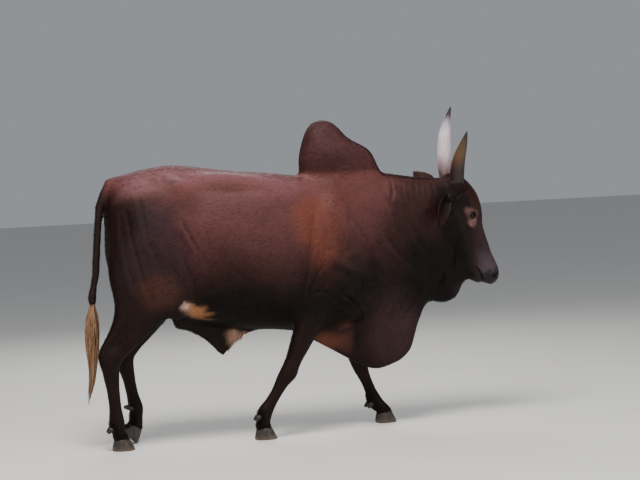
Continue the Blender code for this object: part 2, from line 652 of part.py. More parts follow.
def block(mesh, frame, low, high):
    """A box between two corners of a frame."""
    corners = [
        mesh.verts.new(frame @ Vector((x, y, z)))
        for x in (low[0], high[0]) for y in (low[1], high[1]) for z in (low[2], high[2])
    ]
    for a, b, c, d in ((0, 1, 3, 2), (4, 6, 7, 5), (0, 4, 5, 1), (2, 3, 7, 6), (0, 2, 6, 4), (1, 5, 7, 3)):
        mesh.faces.new([corners[k] for k in (a, b, c, d)])


def claw(mesh, frame, outer):
    """One half of a hoof, standing on a flat sole. Outer is 1 or -1, the side its wall is on."""
    rows = (
        (0.00, -0.036, 0.031, 0.0400), (0.30, -0.040, 0.040, 0.0430),
        (0.75, -0.044, 0.054, 0.0465), (0.94, -0.043, TOE, 0.0465), (1.00, -0.040, TOE - 0.003, 0.0450),
    )
    rings = []
    for share, heel, toe, half in rows:
        ring = []
        for k in range(9):
            angle = math.pi * k / 8
            c, s = math.cos(angle), math.sin(angle)
            x = (heel + toe) / 2 + (toe - heel) / 2 * c
            pinch = 1 - 0.45 * max(c, 0.0) ** 3
            y = 0.0035 + (half - 0.0035) * s ** 0.75 * pinch if k not in (0, 8) else 0.0050
            ring.append((x, y))
        ring += [((heel + toe) / 2 - (toe - heel) * 0.28, 0.0035), ((heel + toe) / 2, 0.0035),
                 ((heel + toe) / 2 + (toe - heel) * 0.28, 0.0035)]
        top = lambda x: CORONET + CORONET_SLOPE * min(max(x, -0.04), 0.035) - GAP
        rings.append([frame @ Vector((x, y * outer, top(x) * (1 - share))) for x, y in ring])
    skin_rings(mesh, rings)


def dewclaw(mesh, leg, outer, grow=0.0):
    """A small horn cone behind the fetlock."""
    frame = foot_frame(leg)
    joint = frame.inverted() @ Vector(leg["fetlock"])
    r = 0.0120 + grow
    rows = ((-0.020 + grow, 0.016, -0.008, r), (-0.037, 0.021, -0.014, r),
            (-0.047 - grow, 0.023, -0.028, r * 0.6))
    loft(mesh, [
        (*(frame @ (joint + Vector((x, outer * y, z)))), half, half, half, 2, 2)
        for x, y, z, half in rows
    ], per_span=1, count=8)


# The horns' rings: share of the length, how far ahead of the root and radius, right horn then left
HORN_RINGS = (
    (0.00, 0.0165, 0.0340, 0.0010, 0.0270), (0.10, 0.0160, 0.0340, -0.0010, 0.0305),
    (0.20, 0.0158, 0.0335, -0.0020, 0.0325), (0.32, 0.0163, 0.0325, -0.0010, 0.0340),
    (0.45, 0.0187, 0.0305, 0.0028, 0.0342), (0.58, 0.0258, 0.0270, 0.0050, 0.0315),
    (0.70, 0.0333, 0.0225, 0.0105, 0.0265), (0.82, 0.0412, 0.0155, 0.0180, 0.0170),
    (0.92, 0.0460, 0.0085, 0.0272, 0.0088), (1.00, 0.0495, 0.0024, 0.0345, 0.0036),
)


def horn(mesh, side, grow=0.0):
    """A horn that rises from the poll: the right one bends forward and out, the left one inward."""
    length = 0.263 if side == RIGHT else 0.368
    root = head_point(-0.014, -0.026, side * 0.046)
    rows = []
    for share, *near, far_ahead, far_r in HORN_RINGS:
        rise = (share - 0.07) * length
        if side == RIGHT:
            ahead, r = near
            place = Vector((ahead, -0.050 * share ** 1.5, rise))
        else:
            r = far_r
            place = Vector((far_ahead, 0.052 * math.sin(share * 2.2), rise))
        place = lean(root + place)
        r += grow
        rows.append((*place, r, r * 1.05, r * 1.05, 2, 2))
    first = np.array(rows[0])
    first[2] -= grow
    loft(mesh, [tuple(first)] + rows[1:], per_span=1, count=12)


def ear(mesh, side, grow=0.0):
    """A cupped leaf: its two faces stand a hand's thickness apart and meet at the rim."""
    root = lean(head_point(0.034, -0.080, side * 0.080))
    if side == RIGHT:
        way, open_to = Vector((-0.52, -0.64, -0.56)), Vector((0.45, -0.85, 0.10))
    else:
        way, open_to = Vector((-0.44, 0.55, 0.71)), Vector((0.72, 0.46, -0.50))
    way.normalize()
    open_to = (open_to - way * open_to.dot(way)).normalized()
    across = way.cross(open_to)
    length = 0.215
    widths = ((0.00, 0.021), (0.10, 0.025), (0.25, 0.038), (0.42, 0.050), (0.60, 0.049), (0.76, 0.038),
              (0.90, 0.021), (1.00, 0.005))
    inner, outer_face = [], []
    columns = 9
    for share, half in widths:
        middle = root + way * (share * (length + 2 * grow) - 0.034 - grow)
        middle += open_to * (-0.018 * math.sin(share * math.pi)) + Vector((0, 0, -0.030 * share ** 2))
        cup = 1.15 - 0.55 * share
        row_in, row_out = [], []
        for k in range(columns):
            v = 2 * k / (columns - 1) - 1
            turn = v * cup * 1.25
            radius = (half + grow) / cup / 1.25
            place = middle + across * (math.sin(turn) * radius)
            place += open_to * ((1 - math.cos(turn)) * radius)
            face = open_to * math.cos(turn) - across * math.sin(turn)
            thick = (0.0042 * (1 - 0.45 * abs(v) ** 3) * (1 - 0.5 * share) + grow)
            row_in.append(place + face * thick)
            row_out.append(place - face * thick)
        inner.append(row_in)
        outer_face.append(row_out)
    top = [[mesh.verts.new(p) for p in row] for row in inner]
    low = [[mesh.verts.new(p) for p in row] for row in outer_face]
    faces = []
    last = len(top) - 1
    for i in range(last):
        for k in range(columns - 1):
            faces.append(mesh.faces.new((top[i][k], top[i][k + 1], top[i + 1][k + 1], top[i + 1][k])))
            faces.append(mesh.faces.new((low[i][k], low[i + 1][k], low[i + 1][k + 1], low[i][k + 1])))
        for k in (0, columns - 1):
            faces.append(mesh.faces.new((top[i][k], top[i + 1][k], low[i + 1][k], low[i][k])))
    for i in (0, last):
        for k in range(columns - 1):
            faces.append(mesh.faces.new((top[i][k], top[i][k + 1], low[i][k + 1], low[i][k])))
    bmesh.ops.recalc_face_normals(mesh, faces=faces)


def eye(mesh, side, grow=0.0):
    """The eyeball, seated in its socket."""
    place = lean(head_point(EYE_S, EYE_T, side * EYE_Y))
    bmesh.ops.create_uvsphere(
        mesh, u_segments=14, v_segments=8, radius=EYE_RADIUS + grow, matrix=Matrix.Translation(place)
    )


def scrotum(mesh, grow=0.0):
    """Hangs between the thighs."""
    loft(mesh, [
        (-0.585, 0, 0.735 + grow, 0.030 + grow, 0.030 + grow, 0.030 + grow, 2, 2),
        (-0.585, 0, 0.660, 0.034 + grow, 0.032 + grow, 0.032 + grow, 2, 2),
        (-0.587, 0, 0.605, 0.052 + grow, 0.042 + grow, 0.042 + grow, 2, 2),
        (-0.590, 0, 0.550, 0.058 + grow, 0.046 + grow, 0.046 + grow, 2, 2),
        (-0.592, 0, 0.512, 0.044 + grow, 0.036 + grow, 0.036 + grow, 2, 2),
        (-0.593, 0, 0.496 - grow, 0.016 + grow, 0.014 + grow, 0.014 + grow, 2, 2),
    ], per_span=1, count=16, side=(0, -1, 0))


def tail(mesh):
    """The hanging tail, from its flat root face down into its tuft."""
    rows = [(TAIL_CUT + TAIL_WAY * GAP, 0.0245), (Vector((-0.753, 0, 1.095)), 0.0200)]
    rows += [(Vector((x, 0, z)), r) for x, z, r in TAIL[4:]]
    rings = []
    for i, (centre, r) in enumerate(rows):
        way = TAIL_WAY if i == 0 else (rows[min(i + 1, len(rows) - 1)][0] - rows[i - 1][0]).normalized()
        across = Vector((0, 1, 0))
        front = way.cross(across)
        rings.append(oval(centre, across, front, r, r, r, 2, 2, 14))
    skin_rings(mesh, rings)


# The tuft: height, middle line's x, and how far its hair stands out
TUFT = (
    (0.654, -0.8073, 0.0180), (0.625, -0.809, 0.0255), (0.585, -0.812, 0.0310), (0.530, -0.814, 0.0335),
    (0.470, -0.816, 0.0325), (0.415, -0.817, 0.0260), (0.360, -0.819, 0.0190), (0.300, -0.826, 0.0155),
    (0.250, -0.838, 0.0110), (0.205, -0.848, 0.0045),
)
# Locks in rings: root height, number, length, half width
LOCK_RINGS = (
    (0.638, 4, 0.125, 0.0140), (0.596, 4, 0.140, 0.0180), (0.546, 5, 0.150, 0.0170),
    (0.494, 4, 0.155, 0.0160), (0.448, 3, 0.165, 0.0140), (0.405, 2, 0.190, 0.0120),
)


def tuft_at(z):
    """Middle and reach of the tuft at a height."""
    table = np.array(TUFT)[::-1]
    return (np.interp(z, table[:, 0], table[:, 1]), np.interp(z, table[:, 0], table[:, 2]))


def lock(mesh, top, angle, length, half, sway):
    """A flat tapered lock of hair: rooted deep in the core, bent outward, then in to its tip."""
    rings = []
    for share, inward, wide, thick in ((0.00, 0.10, 0.60, 0.0042), (0.22, 0.62, 1.00, 0.0058),
                                       (0.55, 0.98, 0.90, 0.0052), (0.82, 1.00, 0.55, 0.0038),
                                       (1.00, 0.94, 0.10, 0.0010)):
        z = top - length * share
        middle, reach = tuft_at(z)
        turn = angle + sway * share * share
        out = Vector((math.cos(turn), math.sin(turn), 0.0))
        across = Vector((-math.sin(turn), math.cos(turn), 0.0))
        place = Vector((middle, 0.0, z)) + out * max(reach - thick, 0.001) * inward
        w = half * wide
        rings.append([place + across * w, place + out * thick, place - across * w,
                      place - out * thick])
    skin_rings(mesh, rings)


def tuft():
    """The tail's tuft: a core that ends half way down, and the locks around it, as one solid."""
    rows = []
    for z in (0.6538, 0.600, 0.530, 0.460, 0.400, 0.360):
        middle, reach = tuft_at(z)
        r = 0.014 if z > 0.65 else reach * (0.62 if z > 0.37 else 0.30)
        rows.append((middle, 0, z, r, r, r, 2, 2))
    mesh = bmesh.new()
    loft(mesh, rows, per_span=1, count=10)
    whole = as_object(mesh, "locks", BULL)
    chance = random.Random(SEED)
    for ring, (top, count, length, half) in enumerate(LOCK_RINGS):
        for k in range(count):
            angle = 2 * math.pi * (k + 0.5 * (ring % 2)) / count + chance.uniform(-0.2, 0.2)
            mesh = bmesh.new()
            lock(mesh, top - chance.uniform(0.0, 0.018), angle, length * chance.uniform(0.88, 1.10),
                 half * chance.uniform(0.85, 1.15), chance.uniform(-0.45, 0.45))
            join(whole, mesh)
    # A hollow that the locks close among them goes
    body_of(whole, max(islands(whole), key=len), "tail_switch")
    bpy.data.objects.remove(whole)


# The thin sheets that part the flesh: a line of (x, z) points, and how far it reaches in y
PARTINGS = {
    "behind the jaw": (
        ((0.885, 1.30), (0.870, 1.12), (0.828, 1.00), (0.842, 0.89), (0.955, 0.715), (1.030, 0.600)),
        -0.22, 0.22,
    ),
    "under the hump": (
        ((0.14, 1.216), (0.23, 1.206), (0.45, 1.200), (0.56, 1.178), (0.67, 1.216)), -0.20, 0.20,
    ),
    "before the shoulders": (((0.5600, 1.17805), (0.5350, 0.54495)), -0.24, 0.24),
    "above the dewlap": (
        ((0.190, 0.410), (0.235, 0.462), (0.340, 0.478), (0.440, 0.500), (0.535, 0.545),
         (0.640, 0.575), (0.780, 0.600), (0.890, 0.640), (0.955, 0.700), (0.990, 0.735)),
        -0.090, 0.090,
    ),
    "right fore leg": (((0.000, 0.470), (0.230, 0.470)), -0.26, -0.080),
    "left fore leg": (((0.300, 0.470), (0.500, 0.470)), 0.096, 0.26),
    "right hind leg": (((-0.860, 0.540), (-0.380, 0.540)), -0.26, -0.045),
    "left hind leg": (((-0.860, 0.540), (-0.380, 0.540)), 0.045, 0.26),
}


def islands(piece):
    """The closed bodies of a mesh, as lists of faces."""
    mesh = bmesh.new()
    mesh.from_mesh(piece.data)
    left, found = set(mesh.faces), []
    while left:
        front = [left.pop()]
        body = []
        while front:
            face = front.pop()
            body.append(face.index)
            for edge in face.edges:
                for other in edge.link_faces:
                    if other in left:
                        left.discard(other)
                        front.append(other)
        found.append(body)
    mesh.free()
    return found


def body_of(piece, faces, name):
    """A new object with just these faces."""
    mesh = bmesh.new()
    mesh.from_mesh(piece.data)
    keep = set(faces)
    bmesh.ops.delete(mesh, geom=[f for f in mesh.faces if f.index not in keep], context="FACES")
    bmesh.ops.triangulate(mesh, faces=mesh.faces)
    bmesh.ops.dissolve_degenerate(mesh, edges=mesh.edges, dist=0.00004)
    bmesh.ops.triangulate(mesh, faces=mesh.faces)
    return as_object(mesh, name, BULL)


def centre_on_floor():
    """Shifts the bull level so that the middle of its bounds stands over the origin."""
    points = np.concatenate([mesh_arrays(piece.data)[0] for piece in BULL.objects])
    middle = (points.min(axis=0) + points.max(axis=0)) / 2
    for piece in BULL.objects:
        piece.data.transform(Matrix.Translation((-middle[0], -middle[1], 0.0)))


# The middle of each node of flesh, to tell the parted bodies from each other
MIDDLES = {
    "torso": (-0.15, 0.0, 0.88), "hump": (0.37, 0.0, 1.28), "neck": (0.72, 0.0, 0.90),
    "dewlap": (0.62, 0.0, 0.44), "head": (0.99, 0.0, 0.92),
    "leg_fore_right": (0.02, -0.14, 0.27), "leg_fore_left": (0.47, 0.14, 0.27),
    "leg_hind_right": (-0.70, -0.13, 0.33), "leg_hind_left": (-0.61, 0.13, 0.34),
}


def build():
    """Fuses and parts the flesh, and seats in it what isn't flesh."""
    body = fused_flesh()
    for line, low, high in PARTINGS.values():
        sheet = bmesh.new()
        strip(sheet, line, low, high)
        cut_away(body, sheet)
    for leg in list(FORE.values()) + list(HIND.values()):
        frame = foot_frame(leg)
        tilted = frame @ Matrix.Rotation(-math.atan(CORONET_SLOPE), 4, "Y")
        rise = CORONET * math.cos(math.atan(CORONET_SLOPE))
        seats = bmesh.new()
        block(seats, tilted, (-0.09, -0.09, rise - 0.09), (0.09, 0.09, rise))
        cut_away(body, seats)
    across = Vector((0, 1, 0))
    frame = Matrix((
        (*across.cross(TAIL_WAY),), (*across,), (*TAIL_WAY,)
    )).transposed().to_4x4()
    frame = Matrix.Translation(TAIL_CUT) @ frame
    seats = bmesh.new()
    block(seats, frame, (-0.045, -0.0275, 0.0), (0.0262, 0.0275, 0.032))
    cut_away(body, seats)
    for make in (horn, eye, ear):
        for side in (RIGHT, LEFT):
            seat = bmesh.new()
            make(seat, side, GAP)
            cut_away(body, seat)
    seat = bmesh.new()
    scrotum(seat, GAP)
    cut_away(body, seat)
    for leg in list(FORE.values()) + list(HIND.values()):
        for outer in (1, -1):
            seat = bmesh.new()
            dewclaw(seat, leg, outer, 1.6 * GAP)
            cut_away(body, seat)

    points, _ = mesh_arrays(body.data)
    found = sorted(islands(body), key=len, reverse=True)[:len(MIDDLES)]
    names = dict(MIDDLES)
    for faces in found:
        corners = {v for f in faces for v in body.data.polygons[f].vertices}
        middle = Vector(points[list(corners)].mean(axis=0))
        name = min(names, key=lambda n: (Vector(names[n]) - middle).length)
        del names[name]
        body_of(body, faces, name)
    bpy.data.objects.remove(body)

    for side, word in ((RIGHT, "right"), (LEFT, "left")):
        for make in (horn, ear, eye):
            mesh = bmesh.new()
            make(mesh, side)
            as_object(mesh, f"{make.__name__}_{word}", BULL)
        for legs, where in ((FORE, "fore"), (HIND, "hind")):
            frame = foot_frame(legs[word])
            for outer, place in ((side, "outer"), (-side, "inner")):
                mesh = bmesh.new()
                claw(mesh, frame, outer)
                half = as_object(mesh, f"claw_{where}_{word}_{place}", BULL)
                if legs[word]["tilt"]:
                    floor = bmesh.new()
                    block(floor, Matrix.Identity(4), (-0.80, 0.0, -0.10), (-0.50, 0.25, 0.0))
                    cut_away(half, floor)
                mesh = bmesh.new()
                dewclaw(mesh, legs[word], outer)
                as_object(mesh, f"dewclaw_{where}_{word}_{place}", BULL)
    tuft()
    for make, name in ((scrotum, "scrotum"), (tail, "tail")):
        mesh = bmesh.new()
        make(mesh)
        as_object(mesh, name, BULL)
    centre_on_floor()
    for piece in BULL.objects:
        paint(piece)


build()
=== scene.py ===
"""The zebu bull dressed: one hide over the flesh with its short coat, the tail's tuft, horns,
hooves and eyes, on a pale floor."""

import math

import bmesh
import bpy
import numpy as np
from mathutils import Matrix, Vector
from mathutils.bvhtree import BVHTree
from mathutils.kdtree import KDTree


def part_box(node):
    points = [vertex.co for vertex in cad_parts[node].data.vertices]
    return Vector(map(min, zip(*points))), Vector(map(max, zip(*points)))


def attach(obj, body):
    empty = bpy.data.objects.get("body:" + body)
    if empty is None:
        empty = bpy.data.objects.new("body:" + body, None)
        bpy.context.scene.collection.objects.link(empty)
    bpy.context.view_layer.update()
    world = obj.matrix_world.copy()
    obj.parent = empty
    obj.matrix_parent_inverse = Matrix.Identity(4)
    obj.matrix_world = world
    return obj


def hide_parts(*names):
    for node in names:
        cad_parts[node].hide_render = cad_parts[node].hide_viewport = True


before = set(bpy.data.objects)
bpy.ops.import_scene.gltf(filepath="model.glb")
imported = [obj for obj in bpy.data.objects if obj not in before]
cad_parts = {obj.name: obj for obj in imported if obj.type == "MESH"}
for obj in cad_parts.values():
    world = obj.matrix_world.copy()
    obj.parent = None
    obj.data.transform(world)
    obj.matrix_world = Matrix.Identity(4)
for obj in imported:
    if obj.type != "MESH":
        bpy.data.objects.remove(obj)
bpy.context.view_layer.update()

SEED = 5
VOXEL = 0.0060
HIDE_TRIANGLES = 188000
COAT_DEPTH = 0.0015
FLESH = ["torso", "hump", "neck", "dewlap", "head", "scrotum", "tail", "leg_fore_right",
         "leg_fore_left", "leg_hind_right", "leg_hind_left"]
CLAWS = [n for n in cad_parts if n.startswith(("claw", "dewclaw"))]

# The head's own axes: S runs down the face from the poll, T out of the forehead
POLL = Vector((0.950, 0.0, 1.130))
PITCH = math.radians(72.0)
DOWN_FACE = Vector((math.cos(PITCH), 0.0, -math.sin(PITCH)))
OUT_FACE = Vector((math.sin(PITCH), 0.0, math.cos(PITCH)))
LEAN, LEAN_FROM, LEAN_TO, LEAN_HEIGHT = math.radians(7.0), 0.70, 0.90, 1.0
EYE = (0.158, -0.004, 0.0790)
EYE_RADIUS, LID_HALF = 0.0205, 0.0165
EAR = (0.034, -0.080, 0.080)
# The width that a lock's patch takes up in the map
PATCH = 0.0015


def step(value, start, end):
    """0 before the start, 1 after the end and smooth between."""
    share = np.clip((value - start) / (end - start), 0, 1)
    return share * share * (3 - 2 * share)


def lean(points, way=1):
    """The head's turn to the bull's right, or its undoing."""
    points = np.array(points, float)
    angle = way * LEAN * step(points[..., 0], LEAN_FROM, LEAN_TO)
    y, z = points[..., 1].copy(), points[..., 2] - LEAN_HEIGHT
    points[..., 1] = y * np.cos(angle) - z * np.sin(angle)
    points[..., 2] = y * np.sin(angle) + z * np.cos(angle) + LEAN_HEIGHT
    return points


def raw_head(s, t, y=0.0):
    return POLL + DOWN_FACE * s + OUT_FACE * t + Vector((0.0, y, 0.0))


def middle_of(node):
    low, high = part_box(node)
    return (np.array(low) + np.array(high)) / 2


SHIFT = middle_of("eye_right") - lean(raw_head(EYE[0], EYE[1], -EYE[2]))


def head_at(s, t, y=0.0):
    """A place on the head from its own axes, in the frame."""
    return lean(raw_head(s, t, y)) + SHIFT


def head_axes(points):
    """The head's own s, t and y of points of the frame."""
    away = lean(points - SHIFT, -1) - np.array(POLL)
    return away @ np.array(DOWN_FACE), away @ np.array(OUT_FACE), away[:, 1]


# The camera stands as in the picture: behind the bull's shoulder line, tipped a little
WIDE, HIGH = 640, 480
LENS, SENSOR = 120.94, 36.0
AWAY, CAMERA_HEIGHT, AIM_HEIGHT = 10.0, 1.35, 0.89
YAW, ROLL = math.radians(16.0), math.radians(2.5)
LOOK_AT = Vector((0.275, 0.0, AIM_HEIGHT)) + Vector(SHIFT)
RISE = math.asin((CAMERA_HEIGHT - AIM_HEIGHT) / AWAY)
BACKWARD = Vector((-math.sin(YAW) * math.cos(RISE), -math.cos(YAW) * math.cos(RISE), math.sin(RISE)))
LEVEL = Vector((math.cos(YAW), -math.sin(YAW), 0.0))
PLUMB = LEVEL.cross(-BACKWARD)
ACROSS = LEVEL * math.cos(ROLL) - PLUMB * math.sin(ROLL)
UPWARD = PLUMB * math.cos(ROLL) + LEVEL * math.sin(ROLL)
STAND = LOOK_AT + BACKWARD * AWAY
FOCAL = LENS / SENSOR * WIDE


def seen(points):
    """Where points fall in a 640 by 480 picture. Those of the left side are mirrored first, so one
    set of places serves both sides."""
    points = np.array(points, float).reshape(-1, 3).copy()
    points[:, 1] = -np.abs(points[:, 1])
    away = points - np.array(STAND)
    depth = away @ np.array(-BACKWARD)
    return (WIDE / 2 + FOCAL * (away @ np.array(ACROSS)) / depth,
            HIGH / 2 - FOCAL * (away @ np.array(UPWARD)) / depth)


def ray_of(u, v):
    return (-BACKWARD * FOCAL + ACROSS * (u - WIDE / 2) + UPWARD * (HIGH / 2 - v)).normalized()


class Hide:
    """The hide's points and faces, and the brushes that work them."""

    def __init__(self, mesh):
        self.mesh = mesh
        self.read()

    def read(self):
        size = len(self.mesh.vertices)
        self.points = np.empty(size * 3)
        self.mesh.vertices.foreach_get("co", self.points)
        self.points = self.points.reshape(-1, 3)
        self.edges = np.empty(len(self.mesh.edges) * 2, int)
        self.mesh.edges.foreach_get("vertices", self.edges)
        self.edges = self.edges.reshape(-1, 2)
        self.links = np.maximum(np.bincount(self.edges.ravel(), minlength=size), 1)[:, None]

    def write(self):
        self.mesh.vertices.foreach_set("co", self.points.ravel())
        self.mesh.update()

    def normals(self):
        self.write()
        made = np.empty(len(self.points) * 3)
        self.mesh.vertices.foreach_get("normal", made)
        return made.reshape(-1, 3)

    def around(self, values):
        a, b = self.edges[:, 0], self.edges[:, 1]
        size = len(values)
        total = np.stack([np.bincount(a, values[b, c], size) + np.bincount(b, values[a, c], size)
                          for c in range(values.shape[1])], 1)
        return total / self.links

    def blur(self, values, rounds, amount):
        for _ in range(rounds):
            values = values + amount * (self.around(values) - values)
        return values

    def relax(self, rounds, amount=0.5):
        """Irons out small facets and keeps the bulk: what the blur took is blurred and given back."""
        soft = self.blur(self.points, rounds, amount)
        self.points = soft + self.blur(self.points - soft, rounds, amount)

    def tree(self):
        self.write()
        faces = [tuple(p.vertices) for p in self.mesh.polygons]
        return BVHTree.FromPolygons([Vector(p) for p in self.points], faces)

    def brush(self, strokes):
        """Each stroke is a path, a reach, a depth and a kind: a swell, or a fold with raised lips."""
        normals = self.normals()
        moved = np.zeros(len(self.points))
        for path, reach, depth, kind in strokes:
            path = np.array([tuple(p) for p in path], float)
            low, high = path.min(0) - 3 * reach, path.max(0) + 3 * reach
            near = np.nonzero(np.all((self.points > low) & (self.points < high), axis=1))[0]
            if not len(near):
                continue
            spots = self.points[near]
            gap = np.full(len(near), 1e9)
            taper = np.ones(len(near))
            length = np.concatenate([[0], np.cumsum(np.linalg.norm(np.diff(path, axis=0), axis=1))])
            for i, (a, b) in enumerate(zip(path, path[1:])):
                along = b - a
                share = np.clip((spots - a) @ along / max(along @ along, 1e-12), 0, 1)
                here = np.linalg.norm(spots - a - share[:, None] * along, axis=1)
                closer = here < gap
                gap[closer] = here[closer]
                run = (length[i] + share * (length[i + 1] - length[i])) / max(length[-1], 1e-9)
                taper[closer] = (1 - np.abs(2 * run - 1) ** 4)[closer]
            if kind == "swell":
                amount = 1 - step(gap, 0, reach)
            elif kind == "fold":
                amount = (np.exp(-(gap / reach / 0.45) ** 2)
                          - 0.38 * np.exp(-((gap - 0.95 * reach) / reach / 0.5) ** 2)) * taper
            else:
                amount = np.exp(-(gap / reach / 0.5) ** 2) * taper
            moved[near] += depth * amount
        self.points += normals * moved[:, None]


def settled(obj):
    """The object's modifiers are worked out into a plain mesh."""
    graph = bpy.context.evaluated_depsgraph_get()
    mesh = bpy.data.meshes.new_from_object(obj.evaluated_get(graph))
    obj.modifiers.clear()
    old = obj.data
    obj.data = mesh
    bpy.data.meshes.remove(old)
    return obj


def new_object(name, mesh):
    obj = bpy.data.objects.new(name, mesh)
    bpy.context.scene.collection.objects.link(obj)
    return obj


def built(name, made):
    """A new object from a bmesh, which is freed."""
    data = bpy.data.meshes.new(name)
    made.to_mesh(data)
    made.free()
    return new_object(name, data)


def smooth(obj):
    for face in obj.data.polygons:
        face.use_smooth = True
    return obj


def copy_of(node, swell=0.0, into=None):
    """A merged copy of a CAD node's mesh, swelled a little if asked."""
    part = bmesh.new()
    part.from_mesh(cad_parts[node].data)
    bmesh.ops.remove_doubles(part, verts=part.verts, dist=0.00002)
    part.normal_update()
    if swell:
        for place, normal in [(v, v.normal.copy()) for v in part.verts]:
            place.co += normal * swell
    if into is None:
        return part
    made = [into.verts.new(v.co) for v in part.verts]
    for face in part.faces:
        into.faces.new([made[v.index] for v in face.verts])
    part.free()


def blob(mesh, centre, radii, turn=None):
    """An egg of flesh that fills a seat or stands for a small mass."""
    place = Matrix.Translation(Vector(centre)) @ (turn or Matrix()) @ Matrix.Diagonal((*radii, 1))
    bmesh.ops.create_icosphere(mesh, subdivisions=3, radius=1.0, matrix=place)


def fused_hide():
    """The flesh nodes fused into one surface, with the seats of eyes and horns filled."""
    mesh = bmesh.new()
    for node in FLESH:
        copy_of(node, 0.0005, mesh)
    for node in ("eye_right", "eye_left"):
        copy_of(node, 0.0010, mesh)
    for side in (-1, 1):
        blob(mesh, head_at(-0.002, -0.028, side * 0.050), (0.036, 0.030, 0.040))
        blob(mesh, head_at(0.040, -0.074, side * 0.072), (0.030, 0.024, 0.030))
    for node in ("claw_fore_right_inner", "claw_fore_left_inner", "claw_hind_right_inner",
                 "claw_hind_left_inner"):
        pair = (middle_of(node) + middle_of(node.replace("inner", "outer"))) / 2
        low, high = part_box(node)
        blob(mesh, (pair[0] - 0.006, pair[1], high[2] - 0.016), (0.036, 0.038, 0.014))
    obj = built("hide", mesh)
    fuse = obj.modifiers.new("fuse", "REMESH")
    fuse.mode = "VOXEL"
    fuse.voxel_size = VOXEL
    return settled(obj)


def finer(obj, chosen):
    """Splits the faces whose points are all chosen, once."""
    mesh = bmesh.new()
    mesh.from_mesh(obj.data)
    mesh.verts.ensure_lookup_table()
    edges = [e for e in mesh.edges if chosen[e.verts[0].index] and chosen[e.verts[1].index]]
    bmesh.ops.subdivide_edges(mesh, edges=edges, cuts=1, use_grid_fill=True)
    bmesh.ops.triangulate(mesh, faces=[f for f in mesh.faces if len(f.verts) > 4])
    mesh.to_mesh(obj.data)
    mesh.free()


def on_side(tree, places, mirrored=False):
    """Places of the picture laid on the bull's right side, or on the same places of its left."""
    path = []
    for u, v in places:
        hit = tree.ray_cast(STAND, ray_of(u, v))[0]
        if hit is None:
            continue
        if mirrored:
            hit = tree.find_nearest(Vector((hit.x, -hit.y, hit.z)))[0]
        path.append(hit)
    return path


# Folds and forms of the body: places in the picture, reach, depth and kind
BODY_STROKES = (
    # The flank's fold before the hip, and the thigh's front edge
    (((181, 218), (185, 228), (191, 238), (198, 252)), 0.018, -0.0055, "fold"),
    (((176, 245), (184, 262), (192, 282), (196, 300)), 0.030, -0.0050, "hollow"),
    # Thigh muscles from the pin bone down
    (((124, 190), (127, 215), (133, 245), (141, 275), (150, 300)), 0.022, -0.0050, "hollow"),
    (((138, 186), (142, 215), (150, 245), (161, 270)), 0.030, -0.0040, "hollow"),
    (((115, 205), (118, 240), (124, 270), (130, 295)), 0.026, 0.0045, "swell"),
    # Hip and loin
    (((160, 178), (176, 183)), 0.060, 0.0060, "swell"),
    (((190, 190), (230, 192), (270, 190)), 0.045, -0.0035, "hollow"),
    # Behind the shoulder and round the elbow
    (((318, 200), (314, 225), (313, 245), (308, 265), (303, 285)), 0.028, -0.0070, "hollow"),
    (((316, 236), (314, 252), (309, 270), (304, 290), (297, 306)), 0.014, -0.0055, "fold"),
    (((326, 262), (318, 274), (311, 288), (307, 300)), 0.013, -0.0050, "fold"),
    (((334, 272), (326, 284), (318, 294)), 0.012, -0.0035, "fold"),
    (((308, 298), (316, 292), (326, 292), (334, 298)), 0.013, -0.0040, "fold"),
    # Shoulder blade and arm
    (((330, 190), (338, 220), (350, 250)), 0.050, 0.0060, "swell"),
    (((346, 192), (356, 222), (368, 246)), 0.026, -0.0050, "hollow"),
    (((330, 258), (352, 270), (366, 276)), 0.040, 0.0060, "swell"),
    (((340, 292), (352, 300), (362, 312), (366, 326)), 0.018, -0.0060, "fold"),
    # Neck: the crest's fold before the hump, and long shallow furrows
    (((384, 170), (390, 178), (393, 190), (391, 204)), 0.016, -0.0060, "fold"),
    (((376, 178), (386, 196), (392, 214), (394, 232)), 0.022, -0.0040, "hollow"),
    (((400, 200), (408, 220), (418, 240), (430, 256)), 0.030, -0.0045, "hollow"),
    (((380, 226), (392, 246), (408, 262), (424, 276)), 0.026, -0.0040, "hollow"),
    # Dewlap's hanging folds
    (((366, 300), (360, 320), (356, 340), (358, 354)), 0.014, -0.0050, "fold"),
    (((382, 290), (376, 312), (372, 334), (374, 352)), 0.016, -0.0045, "fold"),
    (((402, 284), (398, 304), (390, 326)), 0.018, -0.0045, "fold"),
    (((424, 280), (420, 292), (412, 306), (404, 322)), 0.016, -0.0045, "fold"),
    (((444, 266), (444, 280), (438, 294)), 0.014, -0.0045, "fold"),
    # Ribs show faintly
    (((222, 206), (216, 236), (212, 262)), 0.014, -0.0016, "hollow"),
    (((240, 206), (234, 238), (230, 266)), 0.014, -0.0018, "hollow"),
    (((258, 206), (252, 240), (247, 270)), 0.014, -0.0018, "hollow"),
    (((276, 206), (270, 240), (265, 272)), 0.014, -0.0016, "hollow"),
    # Gaskin and hock
    (((128, 326), (118, 338), (110, 350)), 0.014, -0.0050, "hollow"),
    (((150, 318), (140, 332), (132, 346)), 0.020, 0.0030, "swell"),
    (((112, 362), (116, 392), (119, 420)), 0.010, -0.0028, "hollow"),
    (((286, 350), (276, 376), (268, 400)), 0.010, -0.0024, "hollow"),
)
# Short pleats across the top of the neck
PLEATS = (396, 402, 408, 414, 420, 426, 432)


